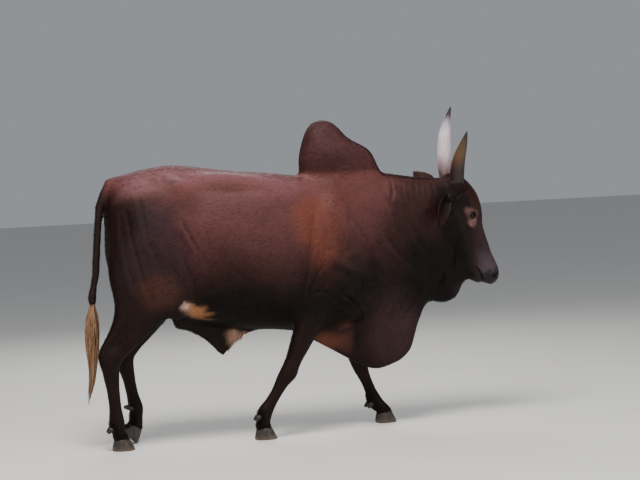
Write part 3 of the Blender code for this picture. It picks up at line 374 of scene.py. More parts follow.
def work_body(hide):
    """Lays the body's folds on both sides."""
    tree = hide.tree()
    strokes = []
    for places, reach, depth, kind in BODY_STROKES:
        for mirrored in (False, True):
            path = on_side(tree, places, mirrored)
            if len(path) > 1:
                strokes.append((path, reach, depth, kind))
    for k, u in enumerate(PLEATS):
        for mirrored in (False, True):
            drop = 12 + 5 * (k % 3)
            path = on_side(tree, ((u, 182), (u + 1, 182 + drop * 0.5), (u + 3, 182 + drop)), mirrored)
            if len(path) > 1:
                strokes.append((path, 0.009, -0.0032, "fold"))
    hide.brush(strokes)


# The face's bones, lips and folds: places in the head's own axes, reach, depth and kind
HEAD_STROKES = (
    # Brow over the eye, crest of the cheek, cheek's edge and the hollow before it
    (((0.105, 0.020, 0.080), (0.130, 0.024, 0.086), (0.152, 0.022, 0.086)), 0.022, 0.0040, "swell"),
    (((0.205, -0.018, 0.078), (0.250, -0.014, 0.068), (0.290, -0.010, 0.060)), 0.014, 0.0035, "swell"),
    (((0.215, 0.022, 0.072), (0.270, 0.026, 0.062), (0.330, 0.028, 0.054)), 0.030, -0.0050, "hollow"),
    (((0.120, -0.130, 0.086), (0.190, -0.135, 0.080), (0.240, -0.110, 0.068)), 0.040, 0.0040, "swell"),
    (((0.250, -0.060, 0.062), (0.262, -0.085, 0.060), (0.262, -0.115, 0.052)), 0.018, -0.0045, "hollow"),
    (((0.090, -0.040, 0.090), (0.110, -0.070, 0.092), (0.135, -0.090, 0.090)), 0.018, -0.0035, "hollow"),
    (((0.300, -0.040, 0.056), (0.340, -0.044, 0.053), (0.380, -0.046, 0.051)), 0.014, -0.0025, "hollow"),
    # Veins from the eye down the cheek
    (((0.215, -0.030, 0.076), (0.245, -0.045, 0.068), (0.280, -0.060, 0.060), (0.320, -0.066, 0.054)),
     0.0045, 0.0018, "ridge"),
    (((0.250, 0.012, 0.066), (0.290, 0.006, 0.060), (0.340, 0.000, 0.055), (0.380, 0.004, 0.053)),
     0.0040, 0.0014, "ridge"),
    # Mouth, lips and chin
    (((0.508, -0.018, 0.008), (0.494, -0.030, 0.036), (0.470, -0.034, 0.050), (0.440, -0.038, 0.053),
      (0.408, -0.046, 0.052)), 0.0065, -0.0075, "ridge"),
    (((0.500, -0.012, 0.036), (0.476, -0.018, 0.052), (0.446, -0.024, 0.054), (0.416, -0.032, 0.054)),
     0.012, 0.0030, "swell"),
    (((0.492, -0.044, 0.024), (0.462, -0.056, 0.038), (0.430, -0.062, 0.038)), 0.014, 0.0030, "swell"),
    # Nostril: a comma that opens forward, with a thick outer rim
    (((0.470, 0.046, 0.026), (0.482, 0.038, 0.034), (0.486, 0.026, 0.040), (0.480, 0.016, 0.045)),
     0.0110, -0.0125, "ridge"),
    (((0.456, 0.040, 0.046), (0.466, 0.026, 0.053), (0.472, 0.012, 0.055)), 0.012, 0.0045, "swell"),
    (((0.494, 0.032, 0.020), (0.500, 0.016, 0.030)), 0.010, 0.0020, "swell"),
    # Wrinkles behind the nostril
    (((0.440, 0.044, 0.040), (0.444, 0.026, 0.054), (0.448, 0.008, 0.057)), 0.0055, -0.0016, "fold"),
    (((0.426, 0.044, 0.040), (0.430, 0.026, 0.053), (0.436, 0.006, 0.055)), 0.0055, -0.0012, "fold"),
    # Skin fold round the horn's foot and the ear's root
    (((0.030, -0.020, 0.072), (0.044, -0.034, 0.080), (0.052, -0.056, 0.086)), 0.010, -0.0030, "fold"),
)


def work_head(hide):
    """Lays the face's forms on both sides, and the cleft of the upper lip."""
    strokes, tree = [], hide.tree()
    for side in (-1, 1):
        for places, reach, depth, kind in HEAD_STROKES:
            path = [tree.find_nearest(head_at(s, t, y * side))[0] for s, t, y in places]
            strokes.append((path, reach, depth, kind))
    strokes.append(([head_at(0.508, 0.022, 0.0), head_at(0.514, 0.000, 0.0)], 0.0055, -0.0030, "ridge"))
    hide.brush(strokes)


def lid_frame(side):
    """The eye's middle, the way it looks, and the line from its inner to its outer corner."""
    centre = head_at(EYE[0], EYE[1], side * EYE[2])
    look = head_at(EYE[0] - 0.02, EYE[1] + 0.22, side * (EYE[2] + 0.97)) - centre
    look /= np.linalg.norm(look)
    corner = head_at(EYE[0] + 0.85, EYE[1] + 0.50, side * EYE[2]) - centre
    corner -= look * (corner @ look)
    corner /= np.linalg.norm(corner)
    return centre, look, corner, np.cross(look, corner) * (-side)


def almond(points, side):
    """How far points lie beyond the edge of the eye's opening, 0 inside it, and their places in the
    eye's own axes: ahead, toward the inner corner, and up."""
    centre, look, corner, up = lid_frame(side)
    away = points - centre
    ahead, a, b = away @ look, away @ corner, away @ up
    reach = np.clip(np.abs(a) / LID_HALF, 0, 1)
    edge = np.where(b > 0, 0.0094, 0.0080) * (1 - reach ** 2.1) ** 0.8
    beyond = np.maximum(np.abs(b) - edge, 0.0) + np.maximum(np.abs(a) - LID_HALF, 0.0)
    return beyond, ahead, a, b


def work_lids(hide):
    """Lids wrap the eyeball, leave an almond opening and pass into the face over soft creases."""
    for side in (-1, 1):
        centre, look, corner, up = lid_frame(side)
        near = np.nonzero(np.linalg.norm(hide.points - centre, axis=1) < 0.060)[0]
        beyond, ahead, a, b = almond(hide.points[near], side)
        radial = np.hypot(a, b)
        ball = EYE_RADIUS + 0.0012 + 0.0016 * np.exp(-((beyond - 0.0026) / 0.0020) ** 2)
        ball -= 0.0014 * np.exp(-((beyond - np.where(b > 0, 0.0085, 0.0070)) / 0.0016) ** 2)
        lid = np.sqrt(ball ** 2 - np.minimum(radial, 0.0168) ** 2)
        seat = np.sqrt(np.maximum((EYE_RADIUS - 0.0045) ** 2 - radial ** 2, 0.0)) - 0.001
        target = np.where(beyond > 0, lid, seat)
        hold = (1 - step(beyond, 0.004, 0.013)) * (ahead > -0.004)
        hide.points[near] += look[None, :] * ((target - ahead) * hold)[:, None]


def head_mask(points):
    """1 on the head, fading over the throat and poll."""
    s, t = head_axes(points)[:2]
    return (step(t, -0.20, -0.13) * step(s, -0.050, -0.015) * (s < 0.56)
            * step(points[:, 0], 0.62, 0.70))


def leg_mask(points):
    """1 on the lower legs."""
    return 1 - step(points[:, 2], 0.44, 0.60)


def tail_mask(points):
    """1 on the free tail."""
    x, y, z = points.T
    return (1 - step(x, -0.905, -0.875)) * step(z, 0.60, 0.66) * (np.abs(y) < 0.04)


def near_places(points, places, reach):
    gap = np.full(len(points), 1e9)
    for place in places:
        gap = np.minimum(gap, np.linalg.norm(points - np.array(tuple(place)), axis=1))
    return gap < reach


def ear_frame(side):
    """The ear's root, the way it points, the way its cup opens and the way across it."""
    root = Vector(head_at(EAR[0], EAR[1], side * EAR[2]))
    if side < 0:
        way, opening = Vector((-0.52, -0.64, -0.56)), Vector((0.45, -0.85, 0.10))
    else:
        way, opening = Vector((-0.44, 0.55, 0.71)), Vector((0.72, 0.46, -0.50))
    way.normalize()
    opening = (opening - way * opening.dot(way)).normalized()
    return root, way, opening, way.cross(opening)


def ear_mask(points):
    """1 on the ears beyond their roots."""
    made = np.zeros(len(points))
    for side in (-1, 1):
        root, way = ear_frame(side)[:2]
        away = points - np.array(root)
        along = away @ np.array(way)
        off = np.linalg.norm(away - along[:, None] * np.array(way), axis=1)
        made = np.maximum(made, step(along, 0.010, 0.030) * (along < 0.24) * (off < 0.075))
    return made


def make_ear(side):
    """A cupped leaf of skin with a rolled rim, thick at its root."""
    root, way, opening, across = ear_frame(side)
    shares = np.linspace(0, 1, 26)
    known = (0.00, 0.10, 0.25, 0.42, 0.60, 0.76, 0.90, 0.97, 1.00)
    halves = np.interp(shares, known, (0.022, 0.026, 0.038, 0.048, 0.047, 0.036, 0.020, 0.010, 0.003))
    columns = 25
    inner, outer = [], []
    for share, half in zip(shares, halves):
        middle = root + way * (share * 0.213 - 0.034)
        middle += opening * (-0.018 * math.sin(share * math.pi)) + Vector((0, 0, -0.030 * share ** 2))
        cup = (1.15 - 0.55 * share) * 1.25
        row_in, row_out = [], []
        for k in range(columns):
            v = 2 * k / (columns - 1) - 1
            turn, radius = v * cup, half / cup
            place = middle + across * (math.sin(turn) * radius) + opening * ((1 - math.cos(turn)) * radius)
            face = opening * math.cos(turn) - across * math.sin(turn)
            ripple = 0.0012 * math.sin(v * 9) * (1 - share) * math.sin(share * math.pi)
            thick = 0.0030 * (1 - 0.35 * abs(v) ** 3) * (1.25 - 0.55 * share)
            row_in.append(place + face * (thick + ripple))
            row_out.append(place - face * thick)
        inner.append(row_in)
        outer.append(row_out)
    mesh = bmesh.new()
    top = [[mesh.verts.new(p) for p in row] for row in inner]
    low = [[mesh.verts.new(p) for p in row] for row in outer]
    last = len(top) - 1
    for i in range(last):
        for k in range(columns - 1):
            mesh.faces.new((top[i][k], top[i][k + 1], top[i + 1][k + 1], top[i + 1][k]))
            mesh.faces.new((low[i][k], low[i + 1][k], low[i + 1][k + 1], low[i][k + 1]))
        for k in (0, columns - 1):
            mesh.faces.new((top[i][k], top[i + 1][k], low[i + 1][k], low[i][k]))
    for i in (0, last):
        for k in range(columns - 1):
            mesh.faces.new((top[i][k], top[i][k + 1], low[i][k + 1], low[i][k]))
    bmesh.ops.recalc_face_normals(mesh, faces=mesh.faces[:])
    bmesh.ops.triangulate(mesh, faces=mesh.faces[:])
    return built("ear", mesh)


def thinned(obj, keep):
    """Fewer triangles on the broad body; the points with keep of 0 stay."""
    mesh = bmesh.new()
    mesh.from_mesh(obj.data)
    bmesh.ops.triangulate(mesh, faces=mesh.faces[:])
    mesh.to_mesh(obj.data)
    mesh.free()
    group = obj.vertex_groups.new(name="broad")
    for level in range(1, 5):
        chosen = np.nonzero((keep > (level - 1) / 4) & (keep <= level / 4))[0]
        group.add(chosen.tolist(), level / 4, "REPLACE")
    fewer = obj.modifiers.new("fewer", "DECIMATE")
    fewer.ratio = HIDE_TRIANGLES / len(obj.data.polygons)
    fewer.vertex_group = "broad"
    fewer.vertex_group_factor = 1.0
    settled(obj)
    obj.vertex_groups.clear()


def dress_flesh():
    """The whole hide, from the fused flesh to its finest folds."""
    obj = fused_hide()
    hide = Hide(obj.data)
    head, legs, tail = head_mask(hide.points), leg_mask(hide.points), tail_mask(hide.points)
    amount = 0.5 * np.clip(1 - 0.86 * head - 0.60 * legs - 0.7 * tail, 0.12, 1)
    hide.relax(70, amount[:, None])
    work_body(hide)
    hide.relax(2, 0.3)
    hide.points -= hide.normals() * COAT_DEPTH
    hide.write()
    finer(obj, head_mask(hide.points) > 0.3)
    hide = Hide(obj.data)
    hide.relax(3, 0.5 * head_mask(hide.points)[:, None])
    eyes = [head_at(EYE[0], EYE[1], side * EYE[2]) for side in (-1, 1)]
    nose = [head_at(0.480, 0.028, 0.0), head_at(0.480, -0.020, 0.0)]
    hide.write()
    finer(obj, near_places(hide.points, eyes, 0.045) | near_places(hide.points, nose, 0.066))
    hide = Hide(obj.data)
    work_head(hide)
    hide.relax(1, 0.3 * head_mask(hide.points)[:, None])
    work_lids(hide)
    hide.write()
    hide = Hide(obj.data)
    thinned(obj, 1 - 0.999 * step(head_mask(hide.points), 0.05, 0.4))
    for side in (-1, 1):
        ear = make_ear(side)
        fuse = obj.modifiers.new("ear", "BOOLEAN")
        fuse.operation, fuse.solver, fuse.object = "UNION", "MANIFOLD", ear
        settled(obj)
        bpy.data.objects.remove(ear)
    hide = Hide(obj.data)
    roots = [head_at(EAR[0], EAR[1], side * EAR[2]) for side in (-1, 1)]
    around = near_places(hide.points, roots, 0.040)
    hide.points = hide.points + (0.5 * around)[:, None] * (hide.around(hide.points) - hide.points)
    hide.write()
    return smooth(obj)


def linear(*rgb):
    """A colour of the screen, 0 to 255, as light."""
    return np.array([(c / 255 / 12.92) if c < 10.3 else ((c / 255 + 0.055) / 1.055) ** 2.4 for c in rgb])


def blot(u, v, centre, size, soft=0.6):
    """1 in an oval of the picture's plane, fading out beyond it."""
    gap = np.hypot((u - centre[0]) / size[0], (v - centre[1]) / size[1])
    return 1 - step(gap, 1 - soft, 1 + soft)


def wander(points, size, seed):
    """Smooth uneven numbers about 0 over the surface, for soft edges and patchy tone."""
    chance = np.random.default_rng(seed)
    total = np.zeros(len(points))
    for _ in range(10):
        way = chance.normal(size=3)
        way /= np.linalg.norm(way)
        total += np.sin(points @ way * (2 * math.pi / size) * chance.uniform(0.6, 1.7)
                        + chance.uniform(0, 6.28))
    return total / 10 ** 0.5 / 0.7


def coat_colour(points, normals):
    """The hide's markings with painted light: red-brown above, near black below, a painted highlight on the
    shoulder, a painted sheen on the back and painted shade underneath, behind the thigh and under the
    muzzle, with bare skin as the fourth value.
    """
    u, v = seen(points)
    x, y, z = points.T
    s, t, hy = head_axes(points)
    head = head_mask(points)
    uneven = wander(points, 0.35, 3)
    fine = wander(points, 0.07, 4)
    red = linear(102, 60, 57)
    # Painted highlight colour for the shoulder
    shoulder_highlight = linear(88, 46, 37)
    brown = linear(76, 44, 43)
    dark = linear(30, 17, 14)
    black = linear(9, 5, 4)
    colour = np.tile(brown, (len(points), 1))

    def lay(tone, share):
        nonlocal colour
        share = np.clip(share, 0, 1)[:, None]
        colour = colour * (1 - share) + np.asarray(tone) * share

    wave = 8 * uneven + 3 * fine
    lay(red, 1 - step(v + wave, 168, 207))
    lay(dark, step(v + wave, 226, 284))
    # Painted highlight: a lighter red-brown patch over the shoulder
    lay(shoulder_highlight, blot(u + wave, v, (330, 216), (24, 62)) * 0.9)
    lay(dark, blot(u, v, (342, 286), (36, 22)) * 0.7)
    lay(black, 0.8 * step(v + wave, 262, 300) * step(u, 180, 205))
    lay(dark, 0.80 * step(u + 1.5 * wave - 0.20 * (v - 180), 356, 396))
    lay(brown, blot(u, v, (350, 182), (44, 16)) * 0.6)
    lay(linear(69, 43, 45), step(z, 1.195, 1.235) * step(x, 0.0, 0.05) * 0.9)
    lay(linear(92, 54, 50), blot(u, v, (366, 167), (13, 13)) * 0.6)
    lay(linear(64, 36, 36), step(z, 1.195, 1.21) * (1 - step(z, 1.215, 1.24)) * step(x, 0.0, 0.05) * 0.7)
    lay(black, 0.9 * step(u, 386, 420) * step(v, 215, 258))
    lay(dark, 0.85 * (1 - step(u + wave, 112, 150)) * step(v, 186, 206))
    # Painted shade: a black patch at the back of the thigh
    lay(black, 0.75 * blot(u + wave, v, (131, 234), (15, 34)))
    lay(linear(40, 27, 31), 0.8 * blot(u + wave, v, (152, 245), (26, 44)))
    lay(linear(70, 41, 33), 0.7 * blot(u, v, (160, 292), (20, 16)))
    # Painted highlight: a mauve sheen along the up-facing back
    painted_sheen = step(normals[:, 2], 0.3, 0.9) * (1 - step(x, -0.1, 0.2)) * (1 - step(v, 185, 215))
    lay(linear(120, 88, 100), 0.3 * painted_sheen)
    legs = leg_mask(points) * (1 - head)
    lay(dark, legs * 0.9)
    lay(black, legs * (1 - step(z, 0.08, 0.26)) * 0.6)
    lay(linear(38, 28, 26), tail_mask(points) * 0.85)
    # Painted shade: down-facing skin darkened toward black
    under = step(-normals[:, 2], 0.35, 0.9) * (1 - head)
    lay(black, under * 0.6)
    lay(linear(58, 39, 40), 0.7 * blot(u, v, (394, 330), (26, 36)))
    # Patches: the flank's white and tan, the sheath's and brisket's pink, seen from the right
    right = y < 0
    lay(linear(158, 108, 74), blot(u + 2 * fine, v + 2 * fine, (198, 311), (11, 6), 0.3) * right)
    lay(linear(208, 176, 160), blot(u + 2 * fine, v + 2 * fine, (185, 306), (5, 3.5), 0.4) * right)
    lay(linear(166, 128, 110), blot(u + fine, v + fine, (237, 335), (10, 5), 0.5) * 0.9)
    lay(linear(98, 56, 42), blot(u + 2 * fine, v, (329, 341), (14, 8)) * 0.85 * (np.abs(y) < 0.11))
    lay(linear(92, 54, 48), blot(u, v, (346, 335), (7, 16)) * 0.5 * (np.abs(y) < 0.11))
    # Head: dark, browner at the poll, the eye's surround pinkish and bare, the muzzle slate and its lower
    # front in painted shade
    lay(linear(30, 20, 19), head * 0.95)
    lay(linear(62, 35, 27), head * (1 - step(s, 0.08, 0.25)) * step(t, -0.01, 0.05) * 0.85)
    bridge = step(s, 0.16, 0.24) * (1 - step(s, 0.28, 0.36)) * step(t, -0.04, 0.02)
    lay(linear(64, 46, 44), head * bridge * 0.75)
    lay(black, head * step(-t, 0.05, 0.09) * step(s, 0.10, 0.16) * 0.7)
    for side in (-1, 1):
        for s_more, reach, share in ((0.004, 0.046, 0.45), (0.030, 0.030, 0.60)):
            patch = head_at(EYE[0] + s_more, EYE[1] + 0.004, side * (EYE[2] + 0.008))
            near = np.linalg.norm(points - patch, axis=1)
            lay(linear(146, 104, 100), share * (1 - step(near + 0.010 * fine, 0.2 * reach, reach)))
    lay(linear(76, 62, 68), head * step(s, 0.28, 0.42) * step(t, -0.06, 0.0) * 0.75)
    # Painted shade: the lower front of the muzzle darkened
    lay(dark, head * step(s, 0.450, 0.490) * (1 - step(t, -0.03, 0.02)) * 0.9)
    pad = head * step(s + 0.02 * np.abs(hy) / 0.05, 0.456, 0.482)
    lay(linear(30, 26, 28), pad * 0.9)
    bare = np.clip(pad, 0, 1)
    for side in (-1, 1):
        beyond, ahead = almond(points, side)[:2]
        rim = (1 - step(beyond, 0.0020, 0.0050)) * (np.abs(ahead - EYE_RADIUS) < 0.018)
        lay(linear(30, 20, 20), rim * 0.9)
        bare = np.maximum(bare, rim)
    colour *= (1 + 0.07 * uneven + 0.05 * fine)[:, None]
    return np.column_stack([np.clip(colour, 0.001, 1), bare])


def painted_crease_shade(hide):
    """How deeply each point lies in a fold, 0 on open skin and 1 deep inside: the mask for the painted
    shade that darkens the colour in creases.
    """
    normals = hide.normals()
    bend = np.sum((hide.around(hide.points) - hide.points) * normals, axis=1)
    a, b = hide.edges.T
    gap = np.linalg.norm(hide.points[a] - hide.points[b], axis=1)
    size = len(hide.points)
    span = (np.bincount(a, gap, size) + np.bincount(b, gap, size)) / hide.links[:, 0]
    bend = hide.blur((bend / span)[:, None], 3, 0.6)[:, 0]
    return step(bend, 0.02, 0.16)


def paint(obj, values, name="Coat"):
    """Keeps a colour for each point of the mesh."""
    layer = obj.data.attributes.new(name, "FLOAT_COLOR", "POINT")
    layer.data.foreach_set("color", np.asarray(values, np.float32).ravel())


class Wire:
    """A socket that takes part in sums."""

    def __init__(self, desk, socket):
        self.desk, self.socket = desk, socket

    def sum(self, kind, *values):
        return self.desk.make("ShaderNodeMath", {"operation": kind}, *values)

    def __add__(self, other): return self.sum("ADD", self, other)
    def __radd__(self, other): return self.sum("ADD", other, self)
    def __sub__(self, other): return self.sum("SUBTRACT", self, other)
    def __rsub__(self, other): return self.sum("SUBTRACT", other, self)
    def __mul__(self, other): return self.sum("MULTIPLY", self, other)
    def __rmul__(self, other): return self.sum("MULTIPLY", other, self)
    def __truediv__(self, other): return self.sum("DIVIDE", self, other)
    def __pow__(self, other): return self.sum("POWER", self, other)


class Desk:
    """One material and its nodes."""

    def __init__(self, name):
        self.material = bpy.data.materials.new(name)
        self.material.use_nodes = True
        self.tree = self.material.node_tree
        self.tree.nodes.clear()
        self.out = self.tree.nodes.new("ShaderNodeOutputMaterial")
        self.shader = self.tree.nodes.new("ShaderNodeBsdfPrincipled")
        self.tree.links.new(self.shader.outputs[0], self.out.inputs[0])

    def plug(self, socket, value):
        if isinstance(value, Wire):
            self.tree.links.new(value.socket, socket)
        else:
            socket.default_value = value

    def make(self, kind, settings=None, *values, out=0, **named):
        node = self.tree.nodes.new(kind)
        for key, value in (settings or {}).items():
            if key == "stops":
                while len(node.color_ramp.elements) < len(value):
                    node.color_ramp.elements.new(0.5)
                for element, (place, colour) in zip(node.color_ramp.elements, value):
                    element.position, element.color = place, (*colour, 1)
            else:
                setattr(node, key, value)
        for i, value in enumerate(values):
            if value is not None:
                self.plug(node.inputs[i], value)
        for key, value in named.items():
            self.plug(node.inputs[key.replace("_", " ")], value)
        return Wire(self, node.outputs[out])

    def here(self):
        """Object coordinates."""
        return self.make("ShaderNodeTexCoord", out="Object")

    def height(self):
        return self.make("ShaderNodeSeparateXYZ", None, self.here(), out=2)

    def place(self, scale=(1, 1, 1), turn=(0, 0, 0)):
        """Object coordinates, turned and then stretched."""
        here = self.here()
        turned = self.make("ShaderNodeMapping", {"vector_type": "TEXTURE"}, here, None, turn)
        return self.make("ShaderNodeMapping", None, turned, None, None, scale)

    def noise(self, where, scale, detail=2.0, rough=0.5):
        return self.make("ShaderNodeTexNoise", None, where, Scale=scale, Detail=detail, Roughness=rough)

    def blend(self, share, a, b, kind="MIX"):
        node = self.tree.nodes.new("ShaderNodeMix")
        node.data_type, node.blend_type = "RGBA", kind
        for index, value in ((0, share), (6, a), (7, b)):
            self.plug(node.inputs[index], value)
        return Wire(self, node.outputs[2])

    def span(self, value, low, high, to_low=0.0, to_high=1.0):
        return self.make("ShaderNodeMapRange", {"interpolation_type": "SMOOTHSTEP"}, value, low, high,
                         to_low, to_high)

    def bump(self, height, strength, distance, normal=None):
        made = self.make("ShaderNodeBump", None, Strength=strength, Distance=distance, Height=height)
        if normal is not None:
            self.plug(made.socket.node.inputs["Normal"], normal)
        return made

    def set(self, **named):
        for key, value in named.items():
            self.plug(self.shader.inputs[key.replace("_", " ")], value)
        return self.material


def hide_material():
    """Glossy short hair over skin: brushed streaks, soft sheen, bare pebbled muzzle."""
    desk = Desk("short_coat")
    coat = desk.make("ShaderNodeAttribute", {"attribute_name": "Coat"}, out="Color")
    bare = Wire(desk, coat.socket.node.outputs["Alpha"])
    body = desk.noise(desk.place((14, 160, 110), (0, math.radians(-14), 0)), 1.0, 3.0, 0.6)
    down = desk.noise(desk.place((150, 150, 16)), 1.0, 3.0, 0.6)
    height = desk.height()
    low = desk.span(height, 0.42, 0.62, 1.0, 0.0)
    hair = body * (1 - low) + down * low
    broad = desk.noise(desk.place(), 9.0, 3.0, 0.55)
    fine = desk.noise(desk.place(), 60.0, 2.0, 0.5)
    tone = desk.blend(desk.span(hair, 0.30, 0.72) * 0.40, coat, (1.25, 1.20, 1.16, 1), "MULTIPLY")
    tone = desk.blend(desk.span(broad, 0.35, 0.70) * 0.35, tone, (0.74, 0.70, 0.72, 1), "MULTIPLY")
    pebble = desk.make("ShaderNodeTexVoronoi", {"feature": "F1"}, desk.place(), Scale=260.0)
    rough = (0.44 + 0.16 * hair + 0.10 * broad) * (1 - bare) + (0.30 + 0.25 * pebble) * bare
    normal = desk.bump(hair, 0.42, 0.0016)
    normal = desk.bump(broad, 0.30, 0.006, normal)
    normal = desk.bump(pebble * bare + fine * 0.3, 0.35, 0.0012, normal)
    return desk.set(Base_Color=tone, Roughness=rough, Normal=normal, Specular_IOR_Level=0.12)


def tuft_material(name):
    """Single locks: each with its own tone, streaked along."""
    desk = Desk(name)
    coat = desk.make("ShaderNodeAttribute", {"attribute_name": "Coat"}, out="Color")
    streak = desk.noise(desk.place((420, 420, 30)), 1.0, 2.0, 0.5)
    tone = desk.blend(desk.span(streak, 0.35, 0.68) * 0.45, coat, (0.60, 0.55, 0.53, 1), "MULTIPLY")
    return desk.set(Base_Color=tone, Roughness=0.50 + 0.2 * streak, Normal=desk.bump(streak, 0.3, 0.001),
                    Specular_IOR_Level=0.10)


def horn_material(name, stops, low, high):
    """Horn: its colours run up its length, with growth rings at the foot and fine grain."""
    desk = Desk(name)
    height = desk.height()
    grain = desk.noise(desk.place((170, 170, 14)), 1.0, 4.0, 0.6)
    cloud = desk.noise(desk.place((1, 1, 0.5)), 26.0, 3.0, 0.5)
    rise = (height - low) / (high - low) + (cloud - 0.5) * 0.16
    tone = desk.make("ShaderNodeValToRGB", {"stops": stops}, rise)
    tone = desk.blend(desk.span(grain, 0.38, 0.70) * 0.45, tone, (0.58, 0.52, 0.48, 1), "MULTIPLY")
    rings = desk.make("ShaderNodeTexWave", {"bands_direction": "Z"}, desk.place(), Scale=24.0,
                      Distortion=2.6, Detail=2.0, Detail_Scale=2.0)
    foot = desk.span(rise, 0.0, 0.45, 1.0, 0.12)
    normal = desk.bump(rings * foot, 0.30, 0.0020)
    normal = desk.bump(grain, 0.35, 0.0010, normal)
    return desk.set(Base_Color=tone, Roughness=0.34 + 0.26 * grain, Normal=normal, Specular_IOR_Level=0.5)


def hoof_material(name, shades):
    """Dark hoof horn with growth rings, paler streaks and a dusty foot."""
    desk = Desk(name)
    height = desk.height()
    streak = desk.noise(desk.place((130, 130, 9)), 1.0, 3.0, 0.6)
    cloud = desk.noise(desk.place(), 22.0, 3.0, 0.6)
    tone = desk.make("ShaderNodeValToRGB", {"stops": tuple(zip((0.30, 0.52, 0.74), shades))},
                     streak * 0.75 + cloud * 0.25)
    dust = desk.span(height + (cloud - 0.5) * 0.03, 0.0, 0.026, 0.45, 0.0)
    tone = desk.blend(dust, tone, (*linear(120, 98, 76), 1))
    rings = desk.make("ShaderNodeTexWave", {"bands_direction": "Z"}, desk.place(), Scale=42.0,
                      Distortion=2.0, Detail=2.0)
    return desk.set(Base_Color=tone, Roughness=0.42 + 0.3 * cloud,
                    Normal=desk.bump(rings + streak, 0.4, 0.0010))


def eye_material(name, side):
    """A dark brown eye: level pupil, streaked iris and a wet shine."""
    desk = Desk(name)
    centre, _, corner, up = lid_frame(side)
    away = desk.make("ShaderNodeVectorMath", {"operation": "SUBTRACT"}, desk.here(), tuple(centre))
    across, rise = (desk.make("ShaderNodeVectorMath", {"operation": "DOT_PRODUCT"}, away, tuple(way),
                              out="Value") for way in (corner, up))
    far = (across ** 2.0 + rise ** 2.0) ** 0.5 * (1 / EYE_RADIUS)
    slit = ((across * (1 / 0.0085)) ** 2.0 + (rise * (1 / 0.0045)) ** 2.0) ** 0.5
    streak = desk.noise(desk.place(), 260.0, 3.0, 0.6)
    stops = ((0.20, linear(34, 20, 13)), (0.55, linear(24, 14, 10)), (0.76, linear(10, 7, 7)),
             (0.84, linear(74, 54, 50)), (1.0, linear(52, 34, 32)))
    iris = desk.make("ShaderNodeValToRGB", {"stops": stops}, far + (streak - 0.5) * 0.12)
    tone = desk.blend(desk.span(slit, 0.85, 1.10), (*linear(7, 6, 9), 1), iris)
    return desk.set(Base_Color=tone, Roughness=0.05 + 0.04 * streak, Specular_IOR_Level=0.22)


def floor_material():
    desk = Desk("pale_floor")
    grit = desk.noise(desk.place(), 3.0, 5.0, 0.6)
    tone = desk.blend(grit, (0.60, 0.59, 0.57, 1), (0.66, 0.65, 0.63, 1))
    return desk.set(Base_Color=tone, Roughness=0.75 + 0.15 * grit)


def flat_place(points):
    """An unwrap of the hide's own shape: trunk, head, legs and tail each unrolled about its own
    middle line into a field of its own."""
    x, y, z = points.T
    s, t, hy = head_axes(points)
    u = 0.02 + 0.60 * (x + 1.0) / 1.5
    v = 0.02 + 0.44 * (np.arctan2(y, z - 0.86) / (2 * math.pi) + 0.5)
    head = head_mask(points) > 0.5
    u = np.where(head, 0.66 + 0.32 * np.clip((s + 0.08) / 0.62, 0, 1), u)
    v = np.where(head, 0.02 + 0.44 * (np.arctan2(hy, t + 0.06) / (2 * math.pi) + 0.5), v)
    for k, line in enumerate(LEG_LINES.values()):
        mx, my = np.interp(z, line[:, 2], line[:, 0]), np.interp(z, line[:, 2], line[:, 1])
        mine = (z < 0.50) & (np.hypot(x - mx, y - my) < 0.16) & (np.sign(y) == np.sign(my))
        mine &= np.abs(x - mx) == np.min([np.abs(x - np.interp(z, other[:, 2], other[:, 0]))
                                          for other in LEG_LINES.values()], axis=0)
        u = np.where(mine, 0.02 + 0.23 * k + 0.20 * (np.arctan2(y - my, x - mx) / (2 * math.pi) + 0.5), u)
        v = np.where(mine, 0.50 + 0.30 * z / 0.5, v)
    tail = (x < -0.90) & (z > 0.15) & (np.abs(y) < 0.05) & ((z < 0.66) | (tail_mask(points) > 0.5))
    u = np.where(tail, 0.02 + 0.60 * (1.2 - z) / 1.1, u)
    v = np.where(tail, 0.84 + 0.12 * (np.arctan2(y, x + 0.955) / (2 * math.pi) + 0.5), v)
    return np.column_stack([u, v])


def leg_line(node):
    """The middle of a leg node at a row of heights."""
    points = np.array([v.co[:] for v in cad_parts[node].data.vertices])
    rows = []
    for z in np.linspace(points[:, 2].min() + 0.01, points[:, 2].max() - 0.01, 14):
        near = np.abs(points[:, 2] - z) < 0.03
        rows.append((*points[near][:, :2].mean(0), z))
    return np.array(rows)


LEG_LINES = {n: leg_line(n) for n in FLESH if n.startswith("leg")}


def lock_faces(count, rings, turned=False):
    """Triangles of many locks alike: three-sided rings, with a cap at the root and a tip."""
    each, sides = 3 * rings + 1, ((0, 1), (1, 2), (2, 0))
    pattern = [(0, 2, 1)]
    for a in range(0, 3 * (rings - 1), 3):
        for i, j in sides:
            pattern += [(a + i, a + j, a + 3 + j), (a + i, a + 3 + j, a + 3 + i)]
    last = 3 * (rings - 1)
    pattern += [(last + i, last + j, each - 1) for i, j in sides]
    pattern = np.array(pattern)[:, [0, 2, 1] if turned else [0, 1, 2]]
    return (pattern[None] + (np.arange(count) * each)[:, None, None]).reshape(-1, 3)


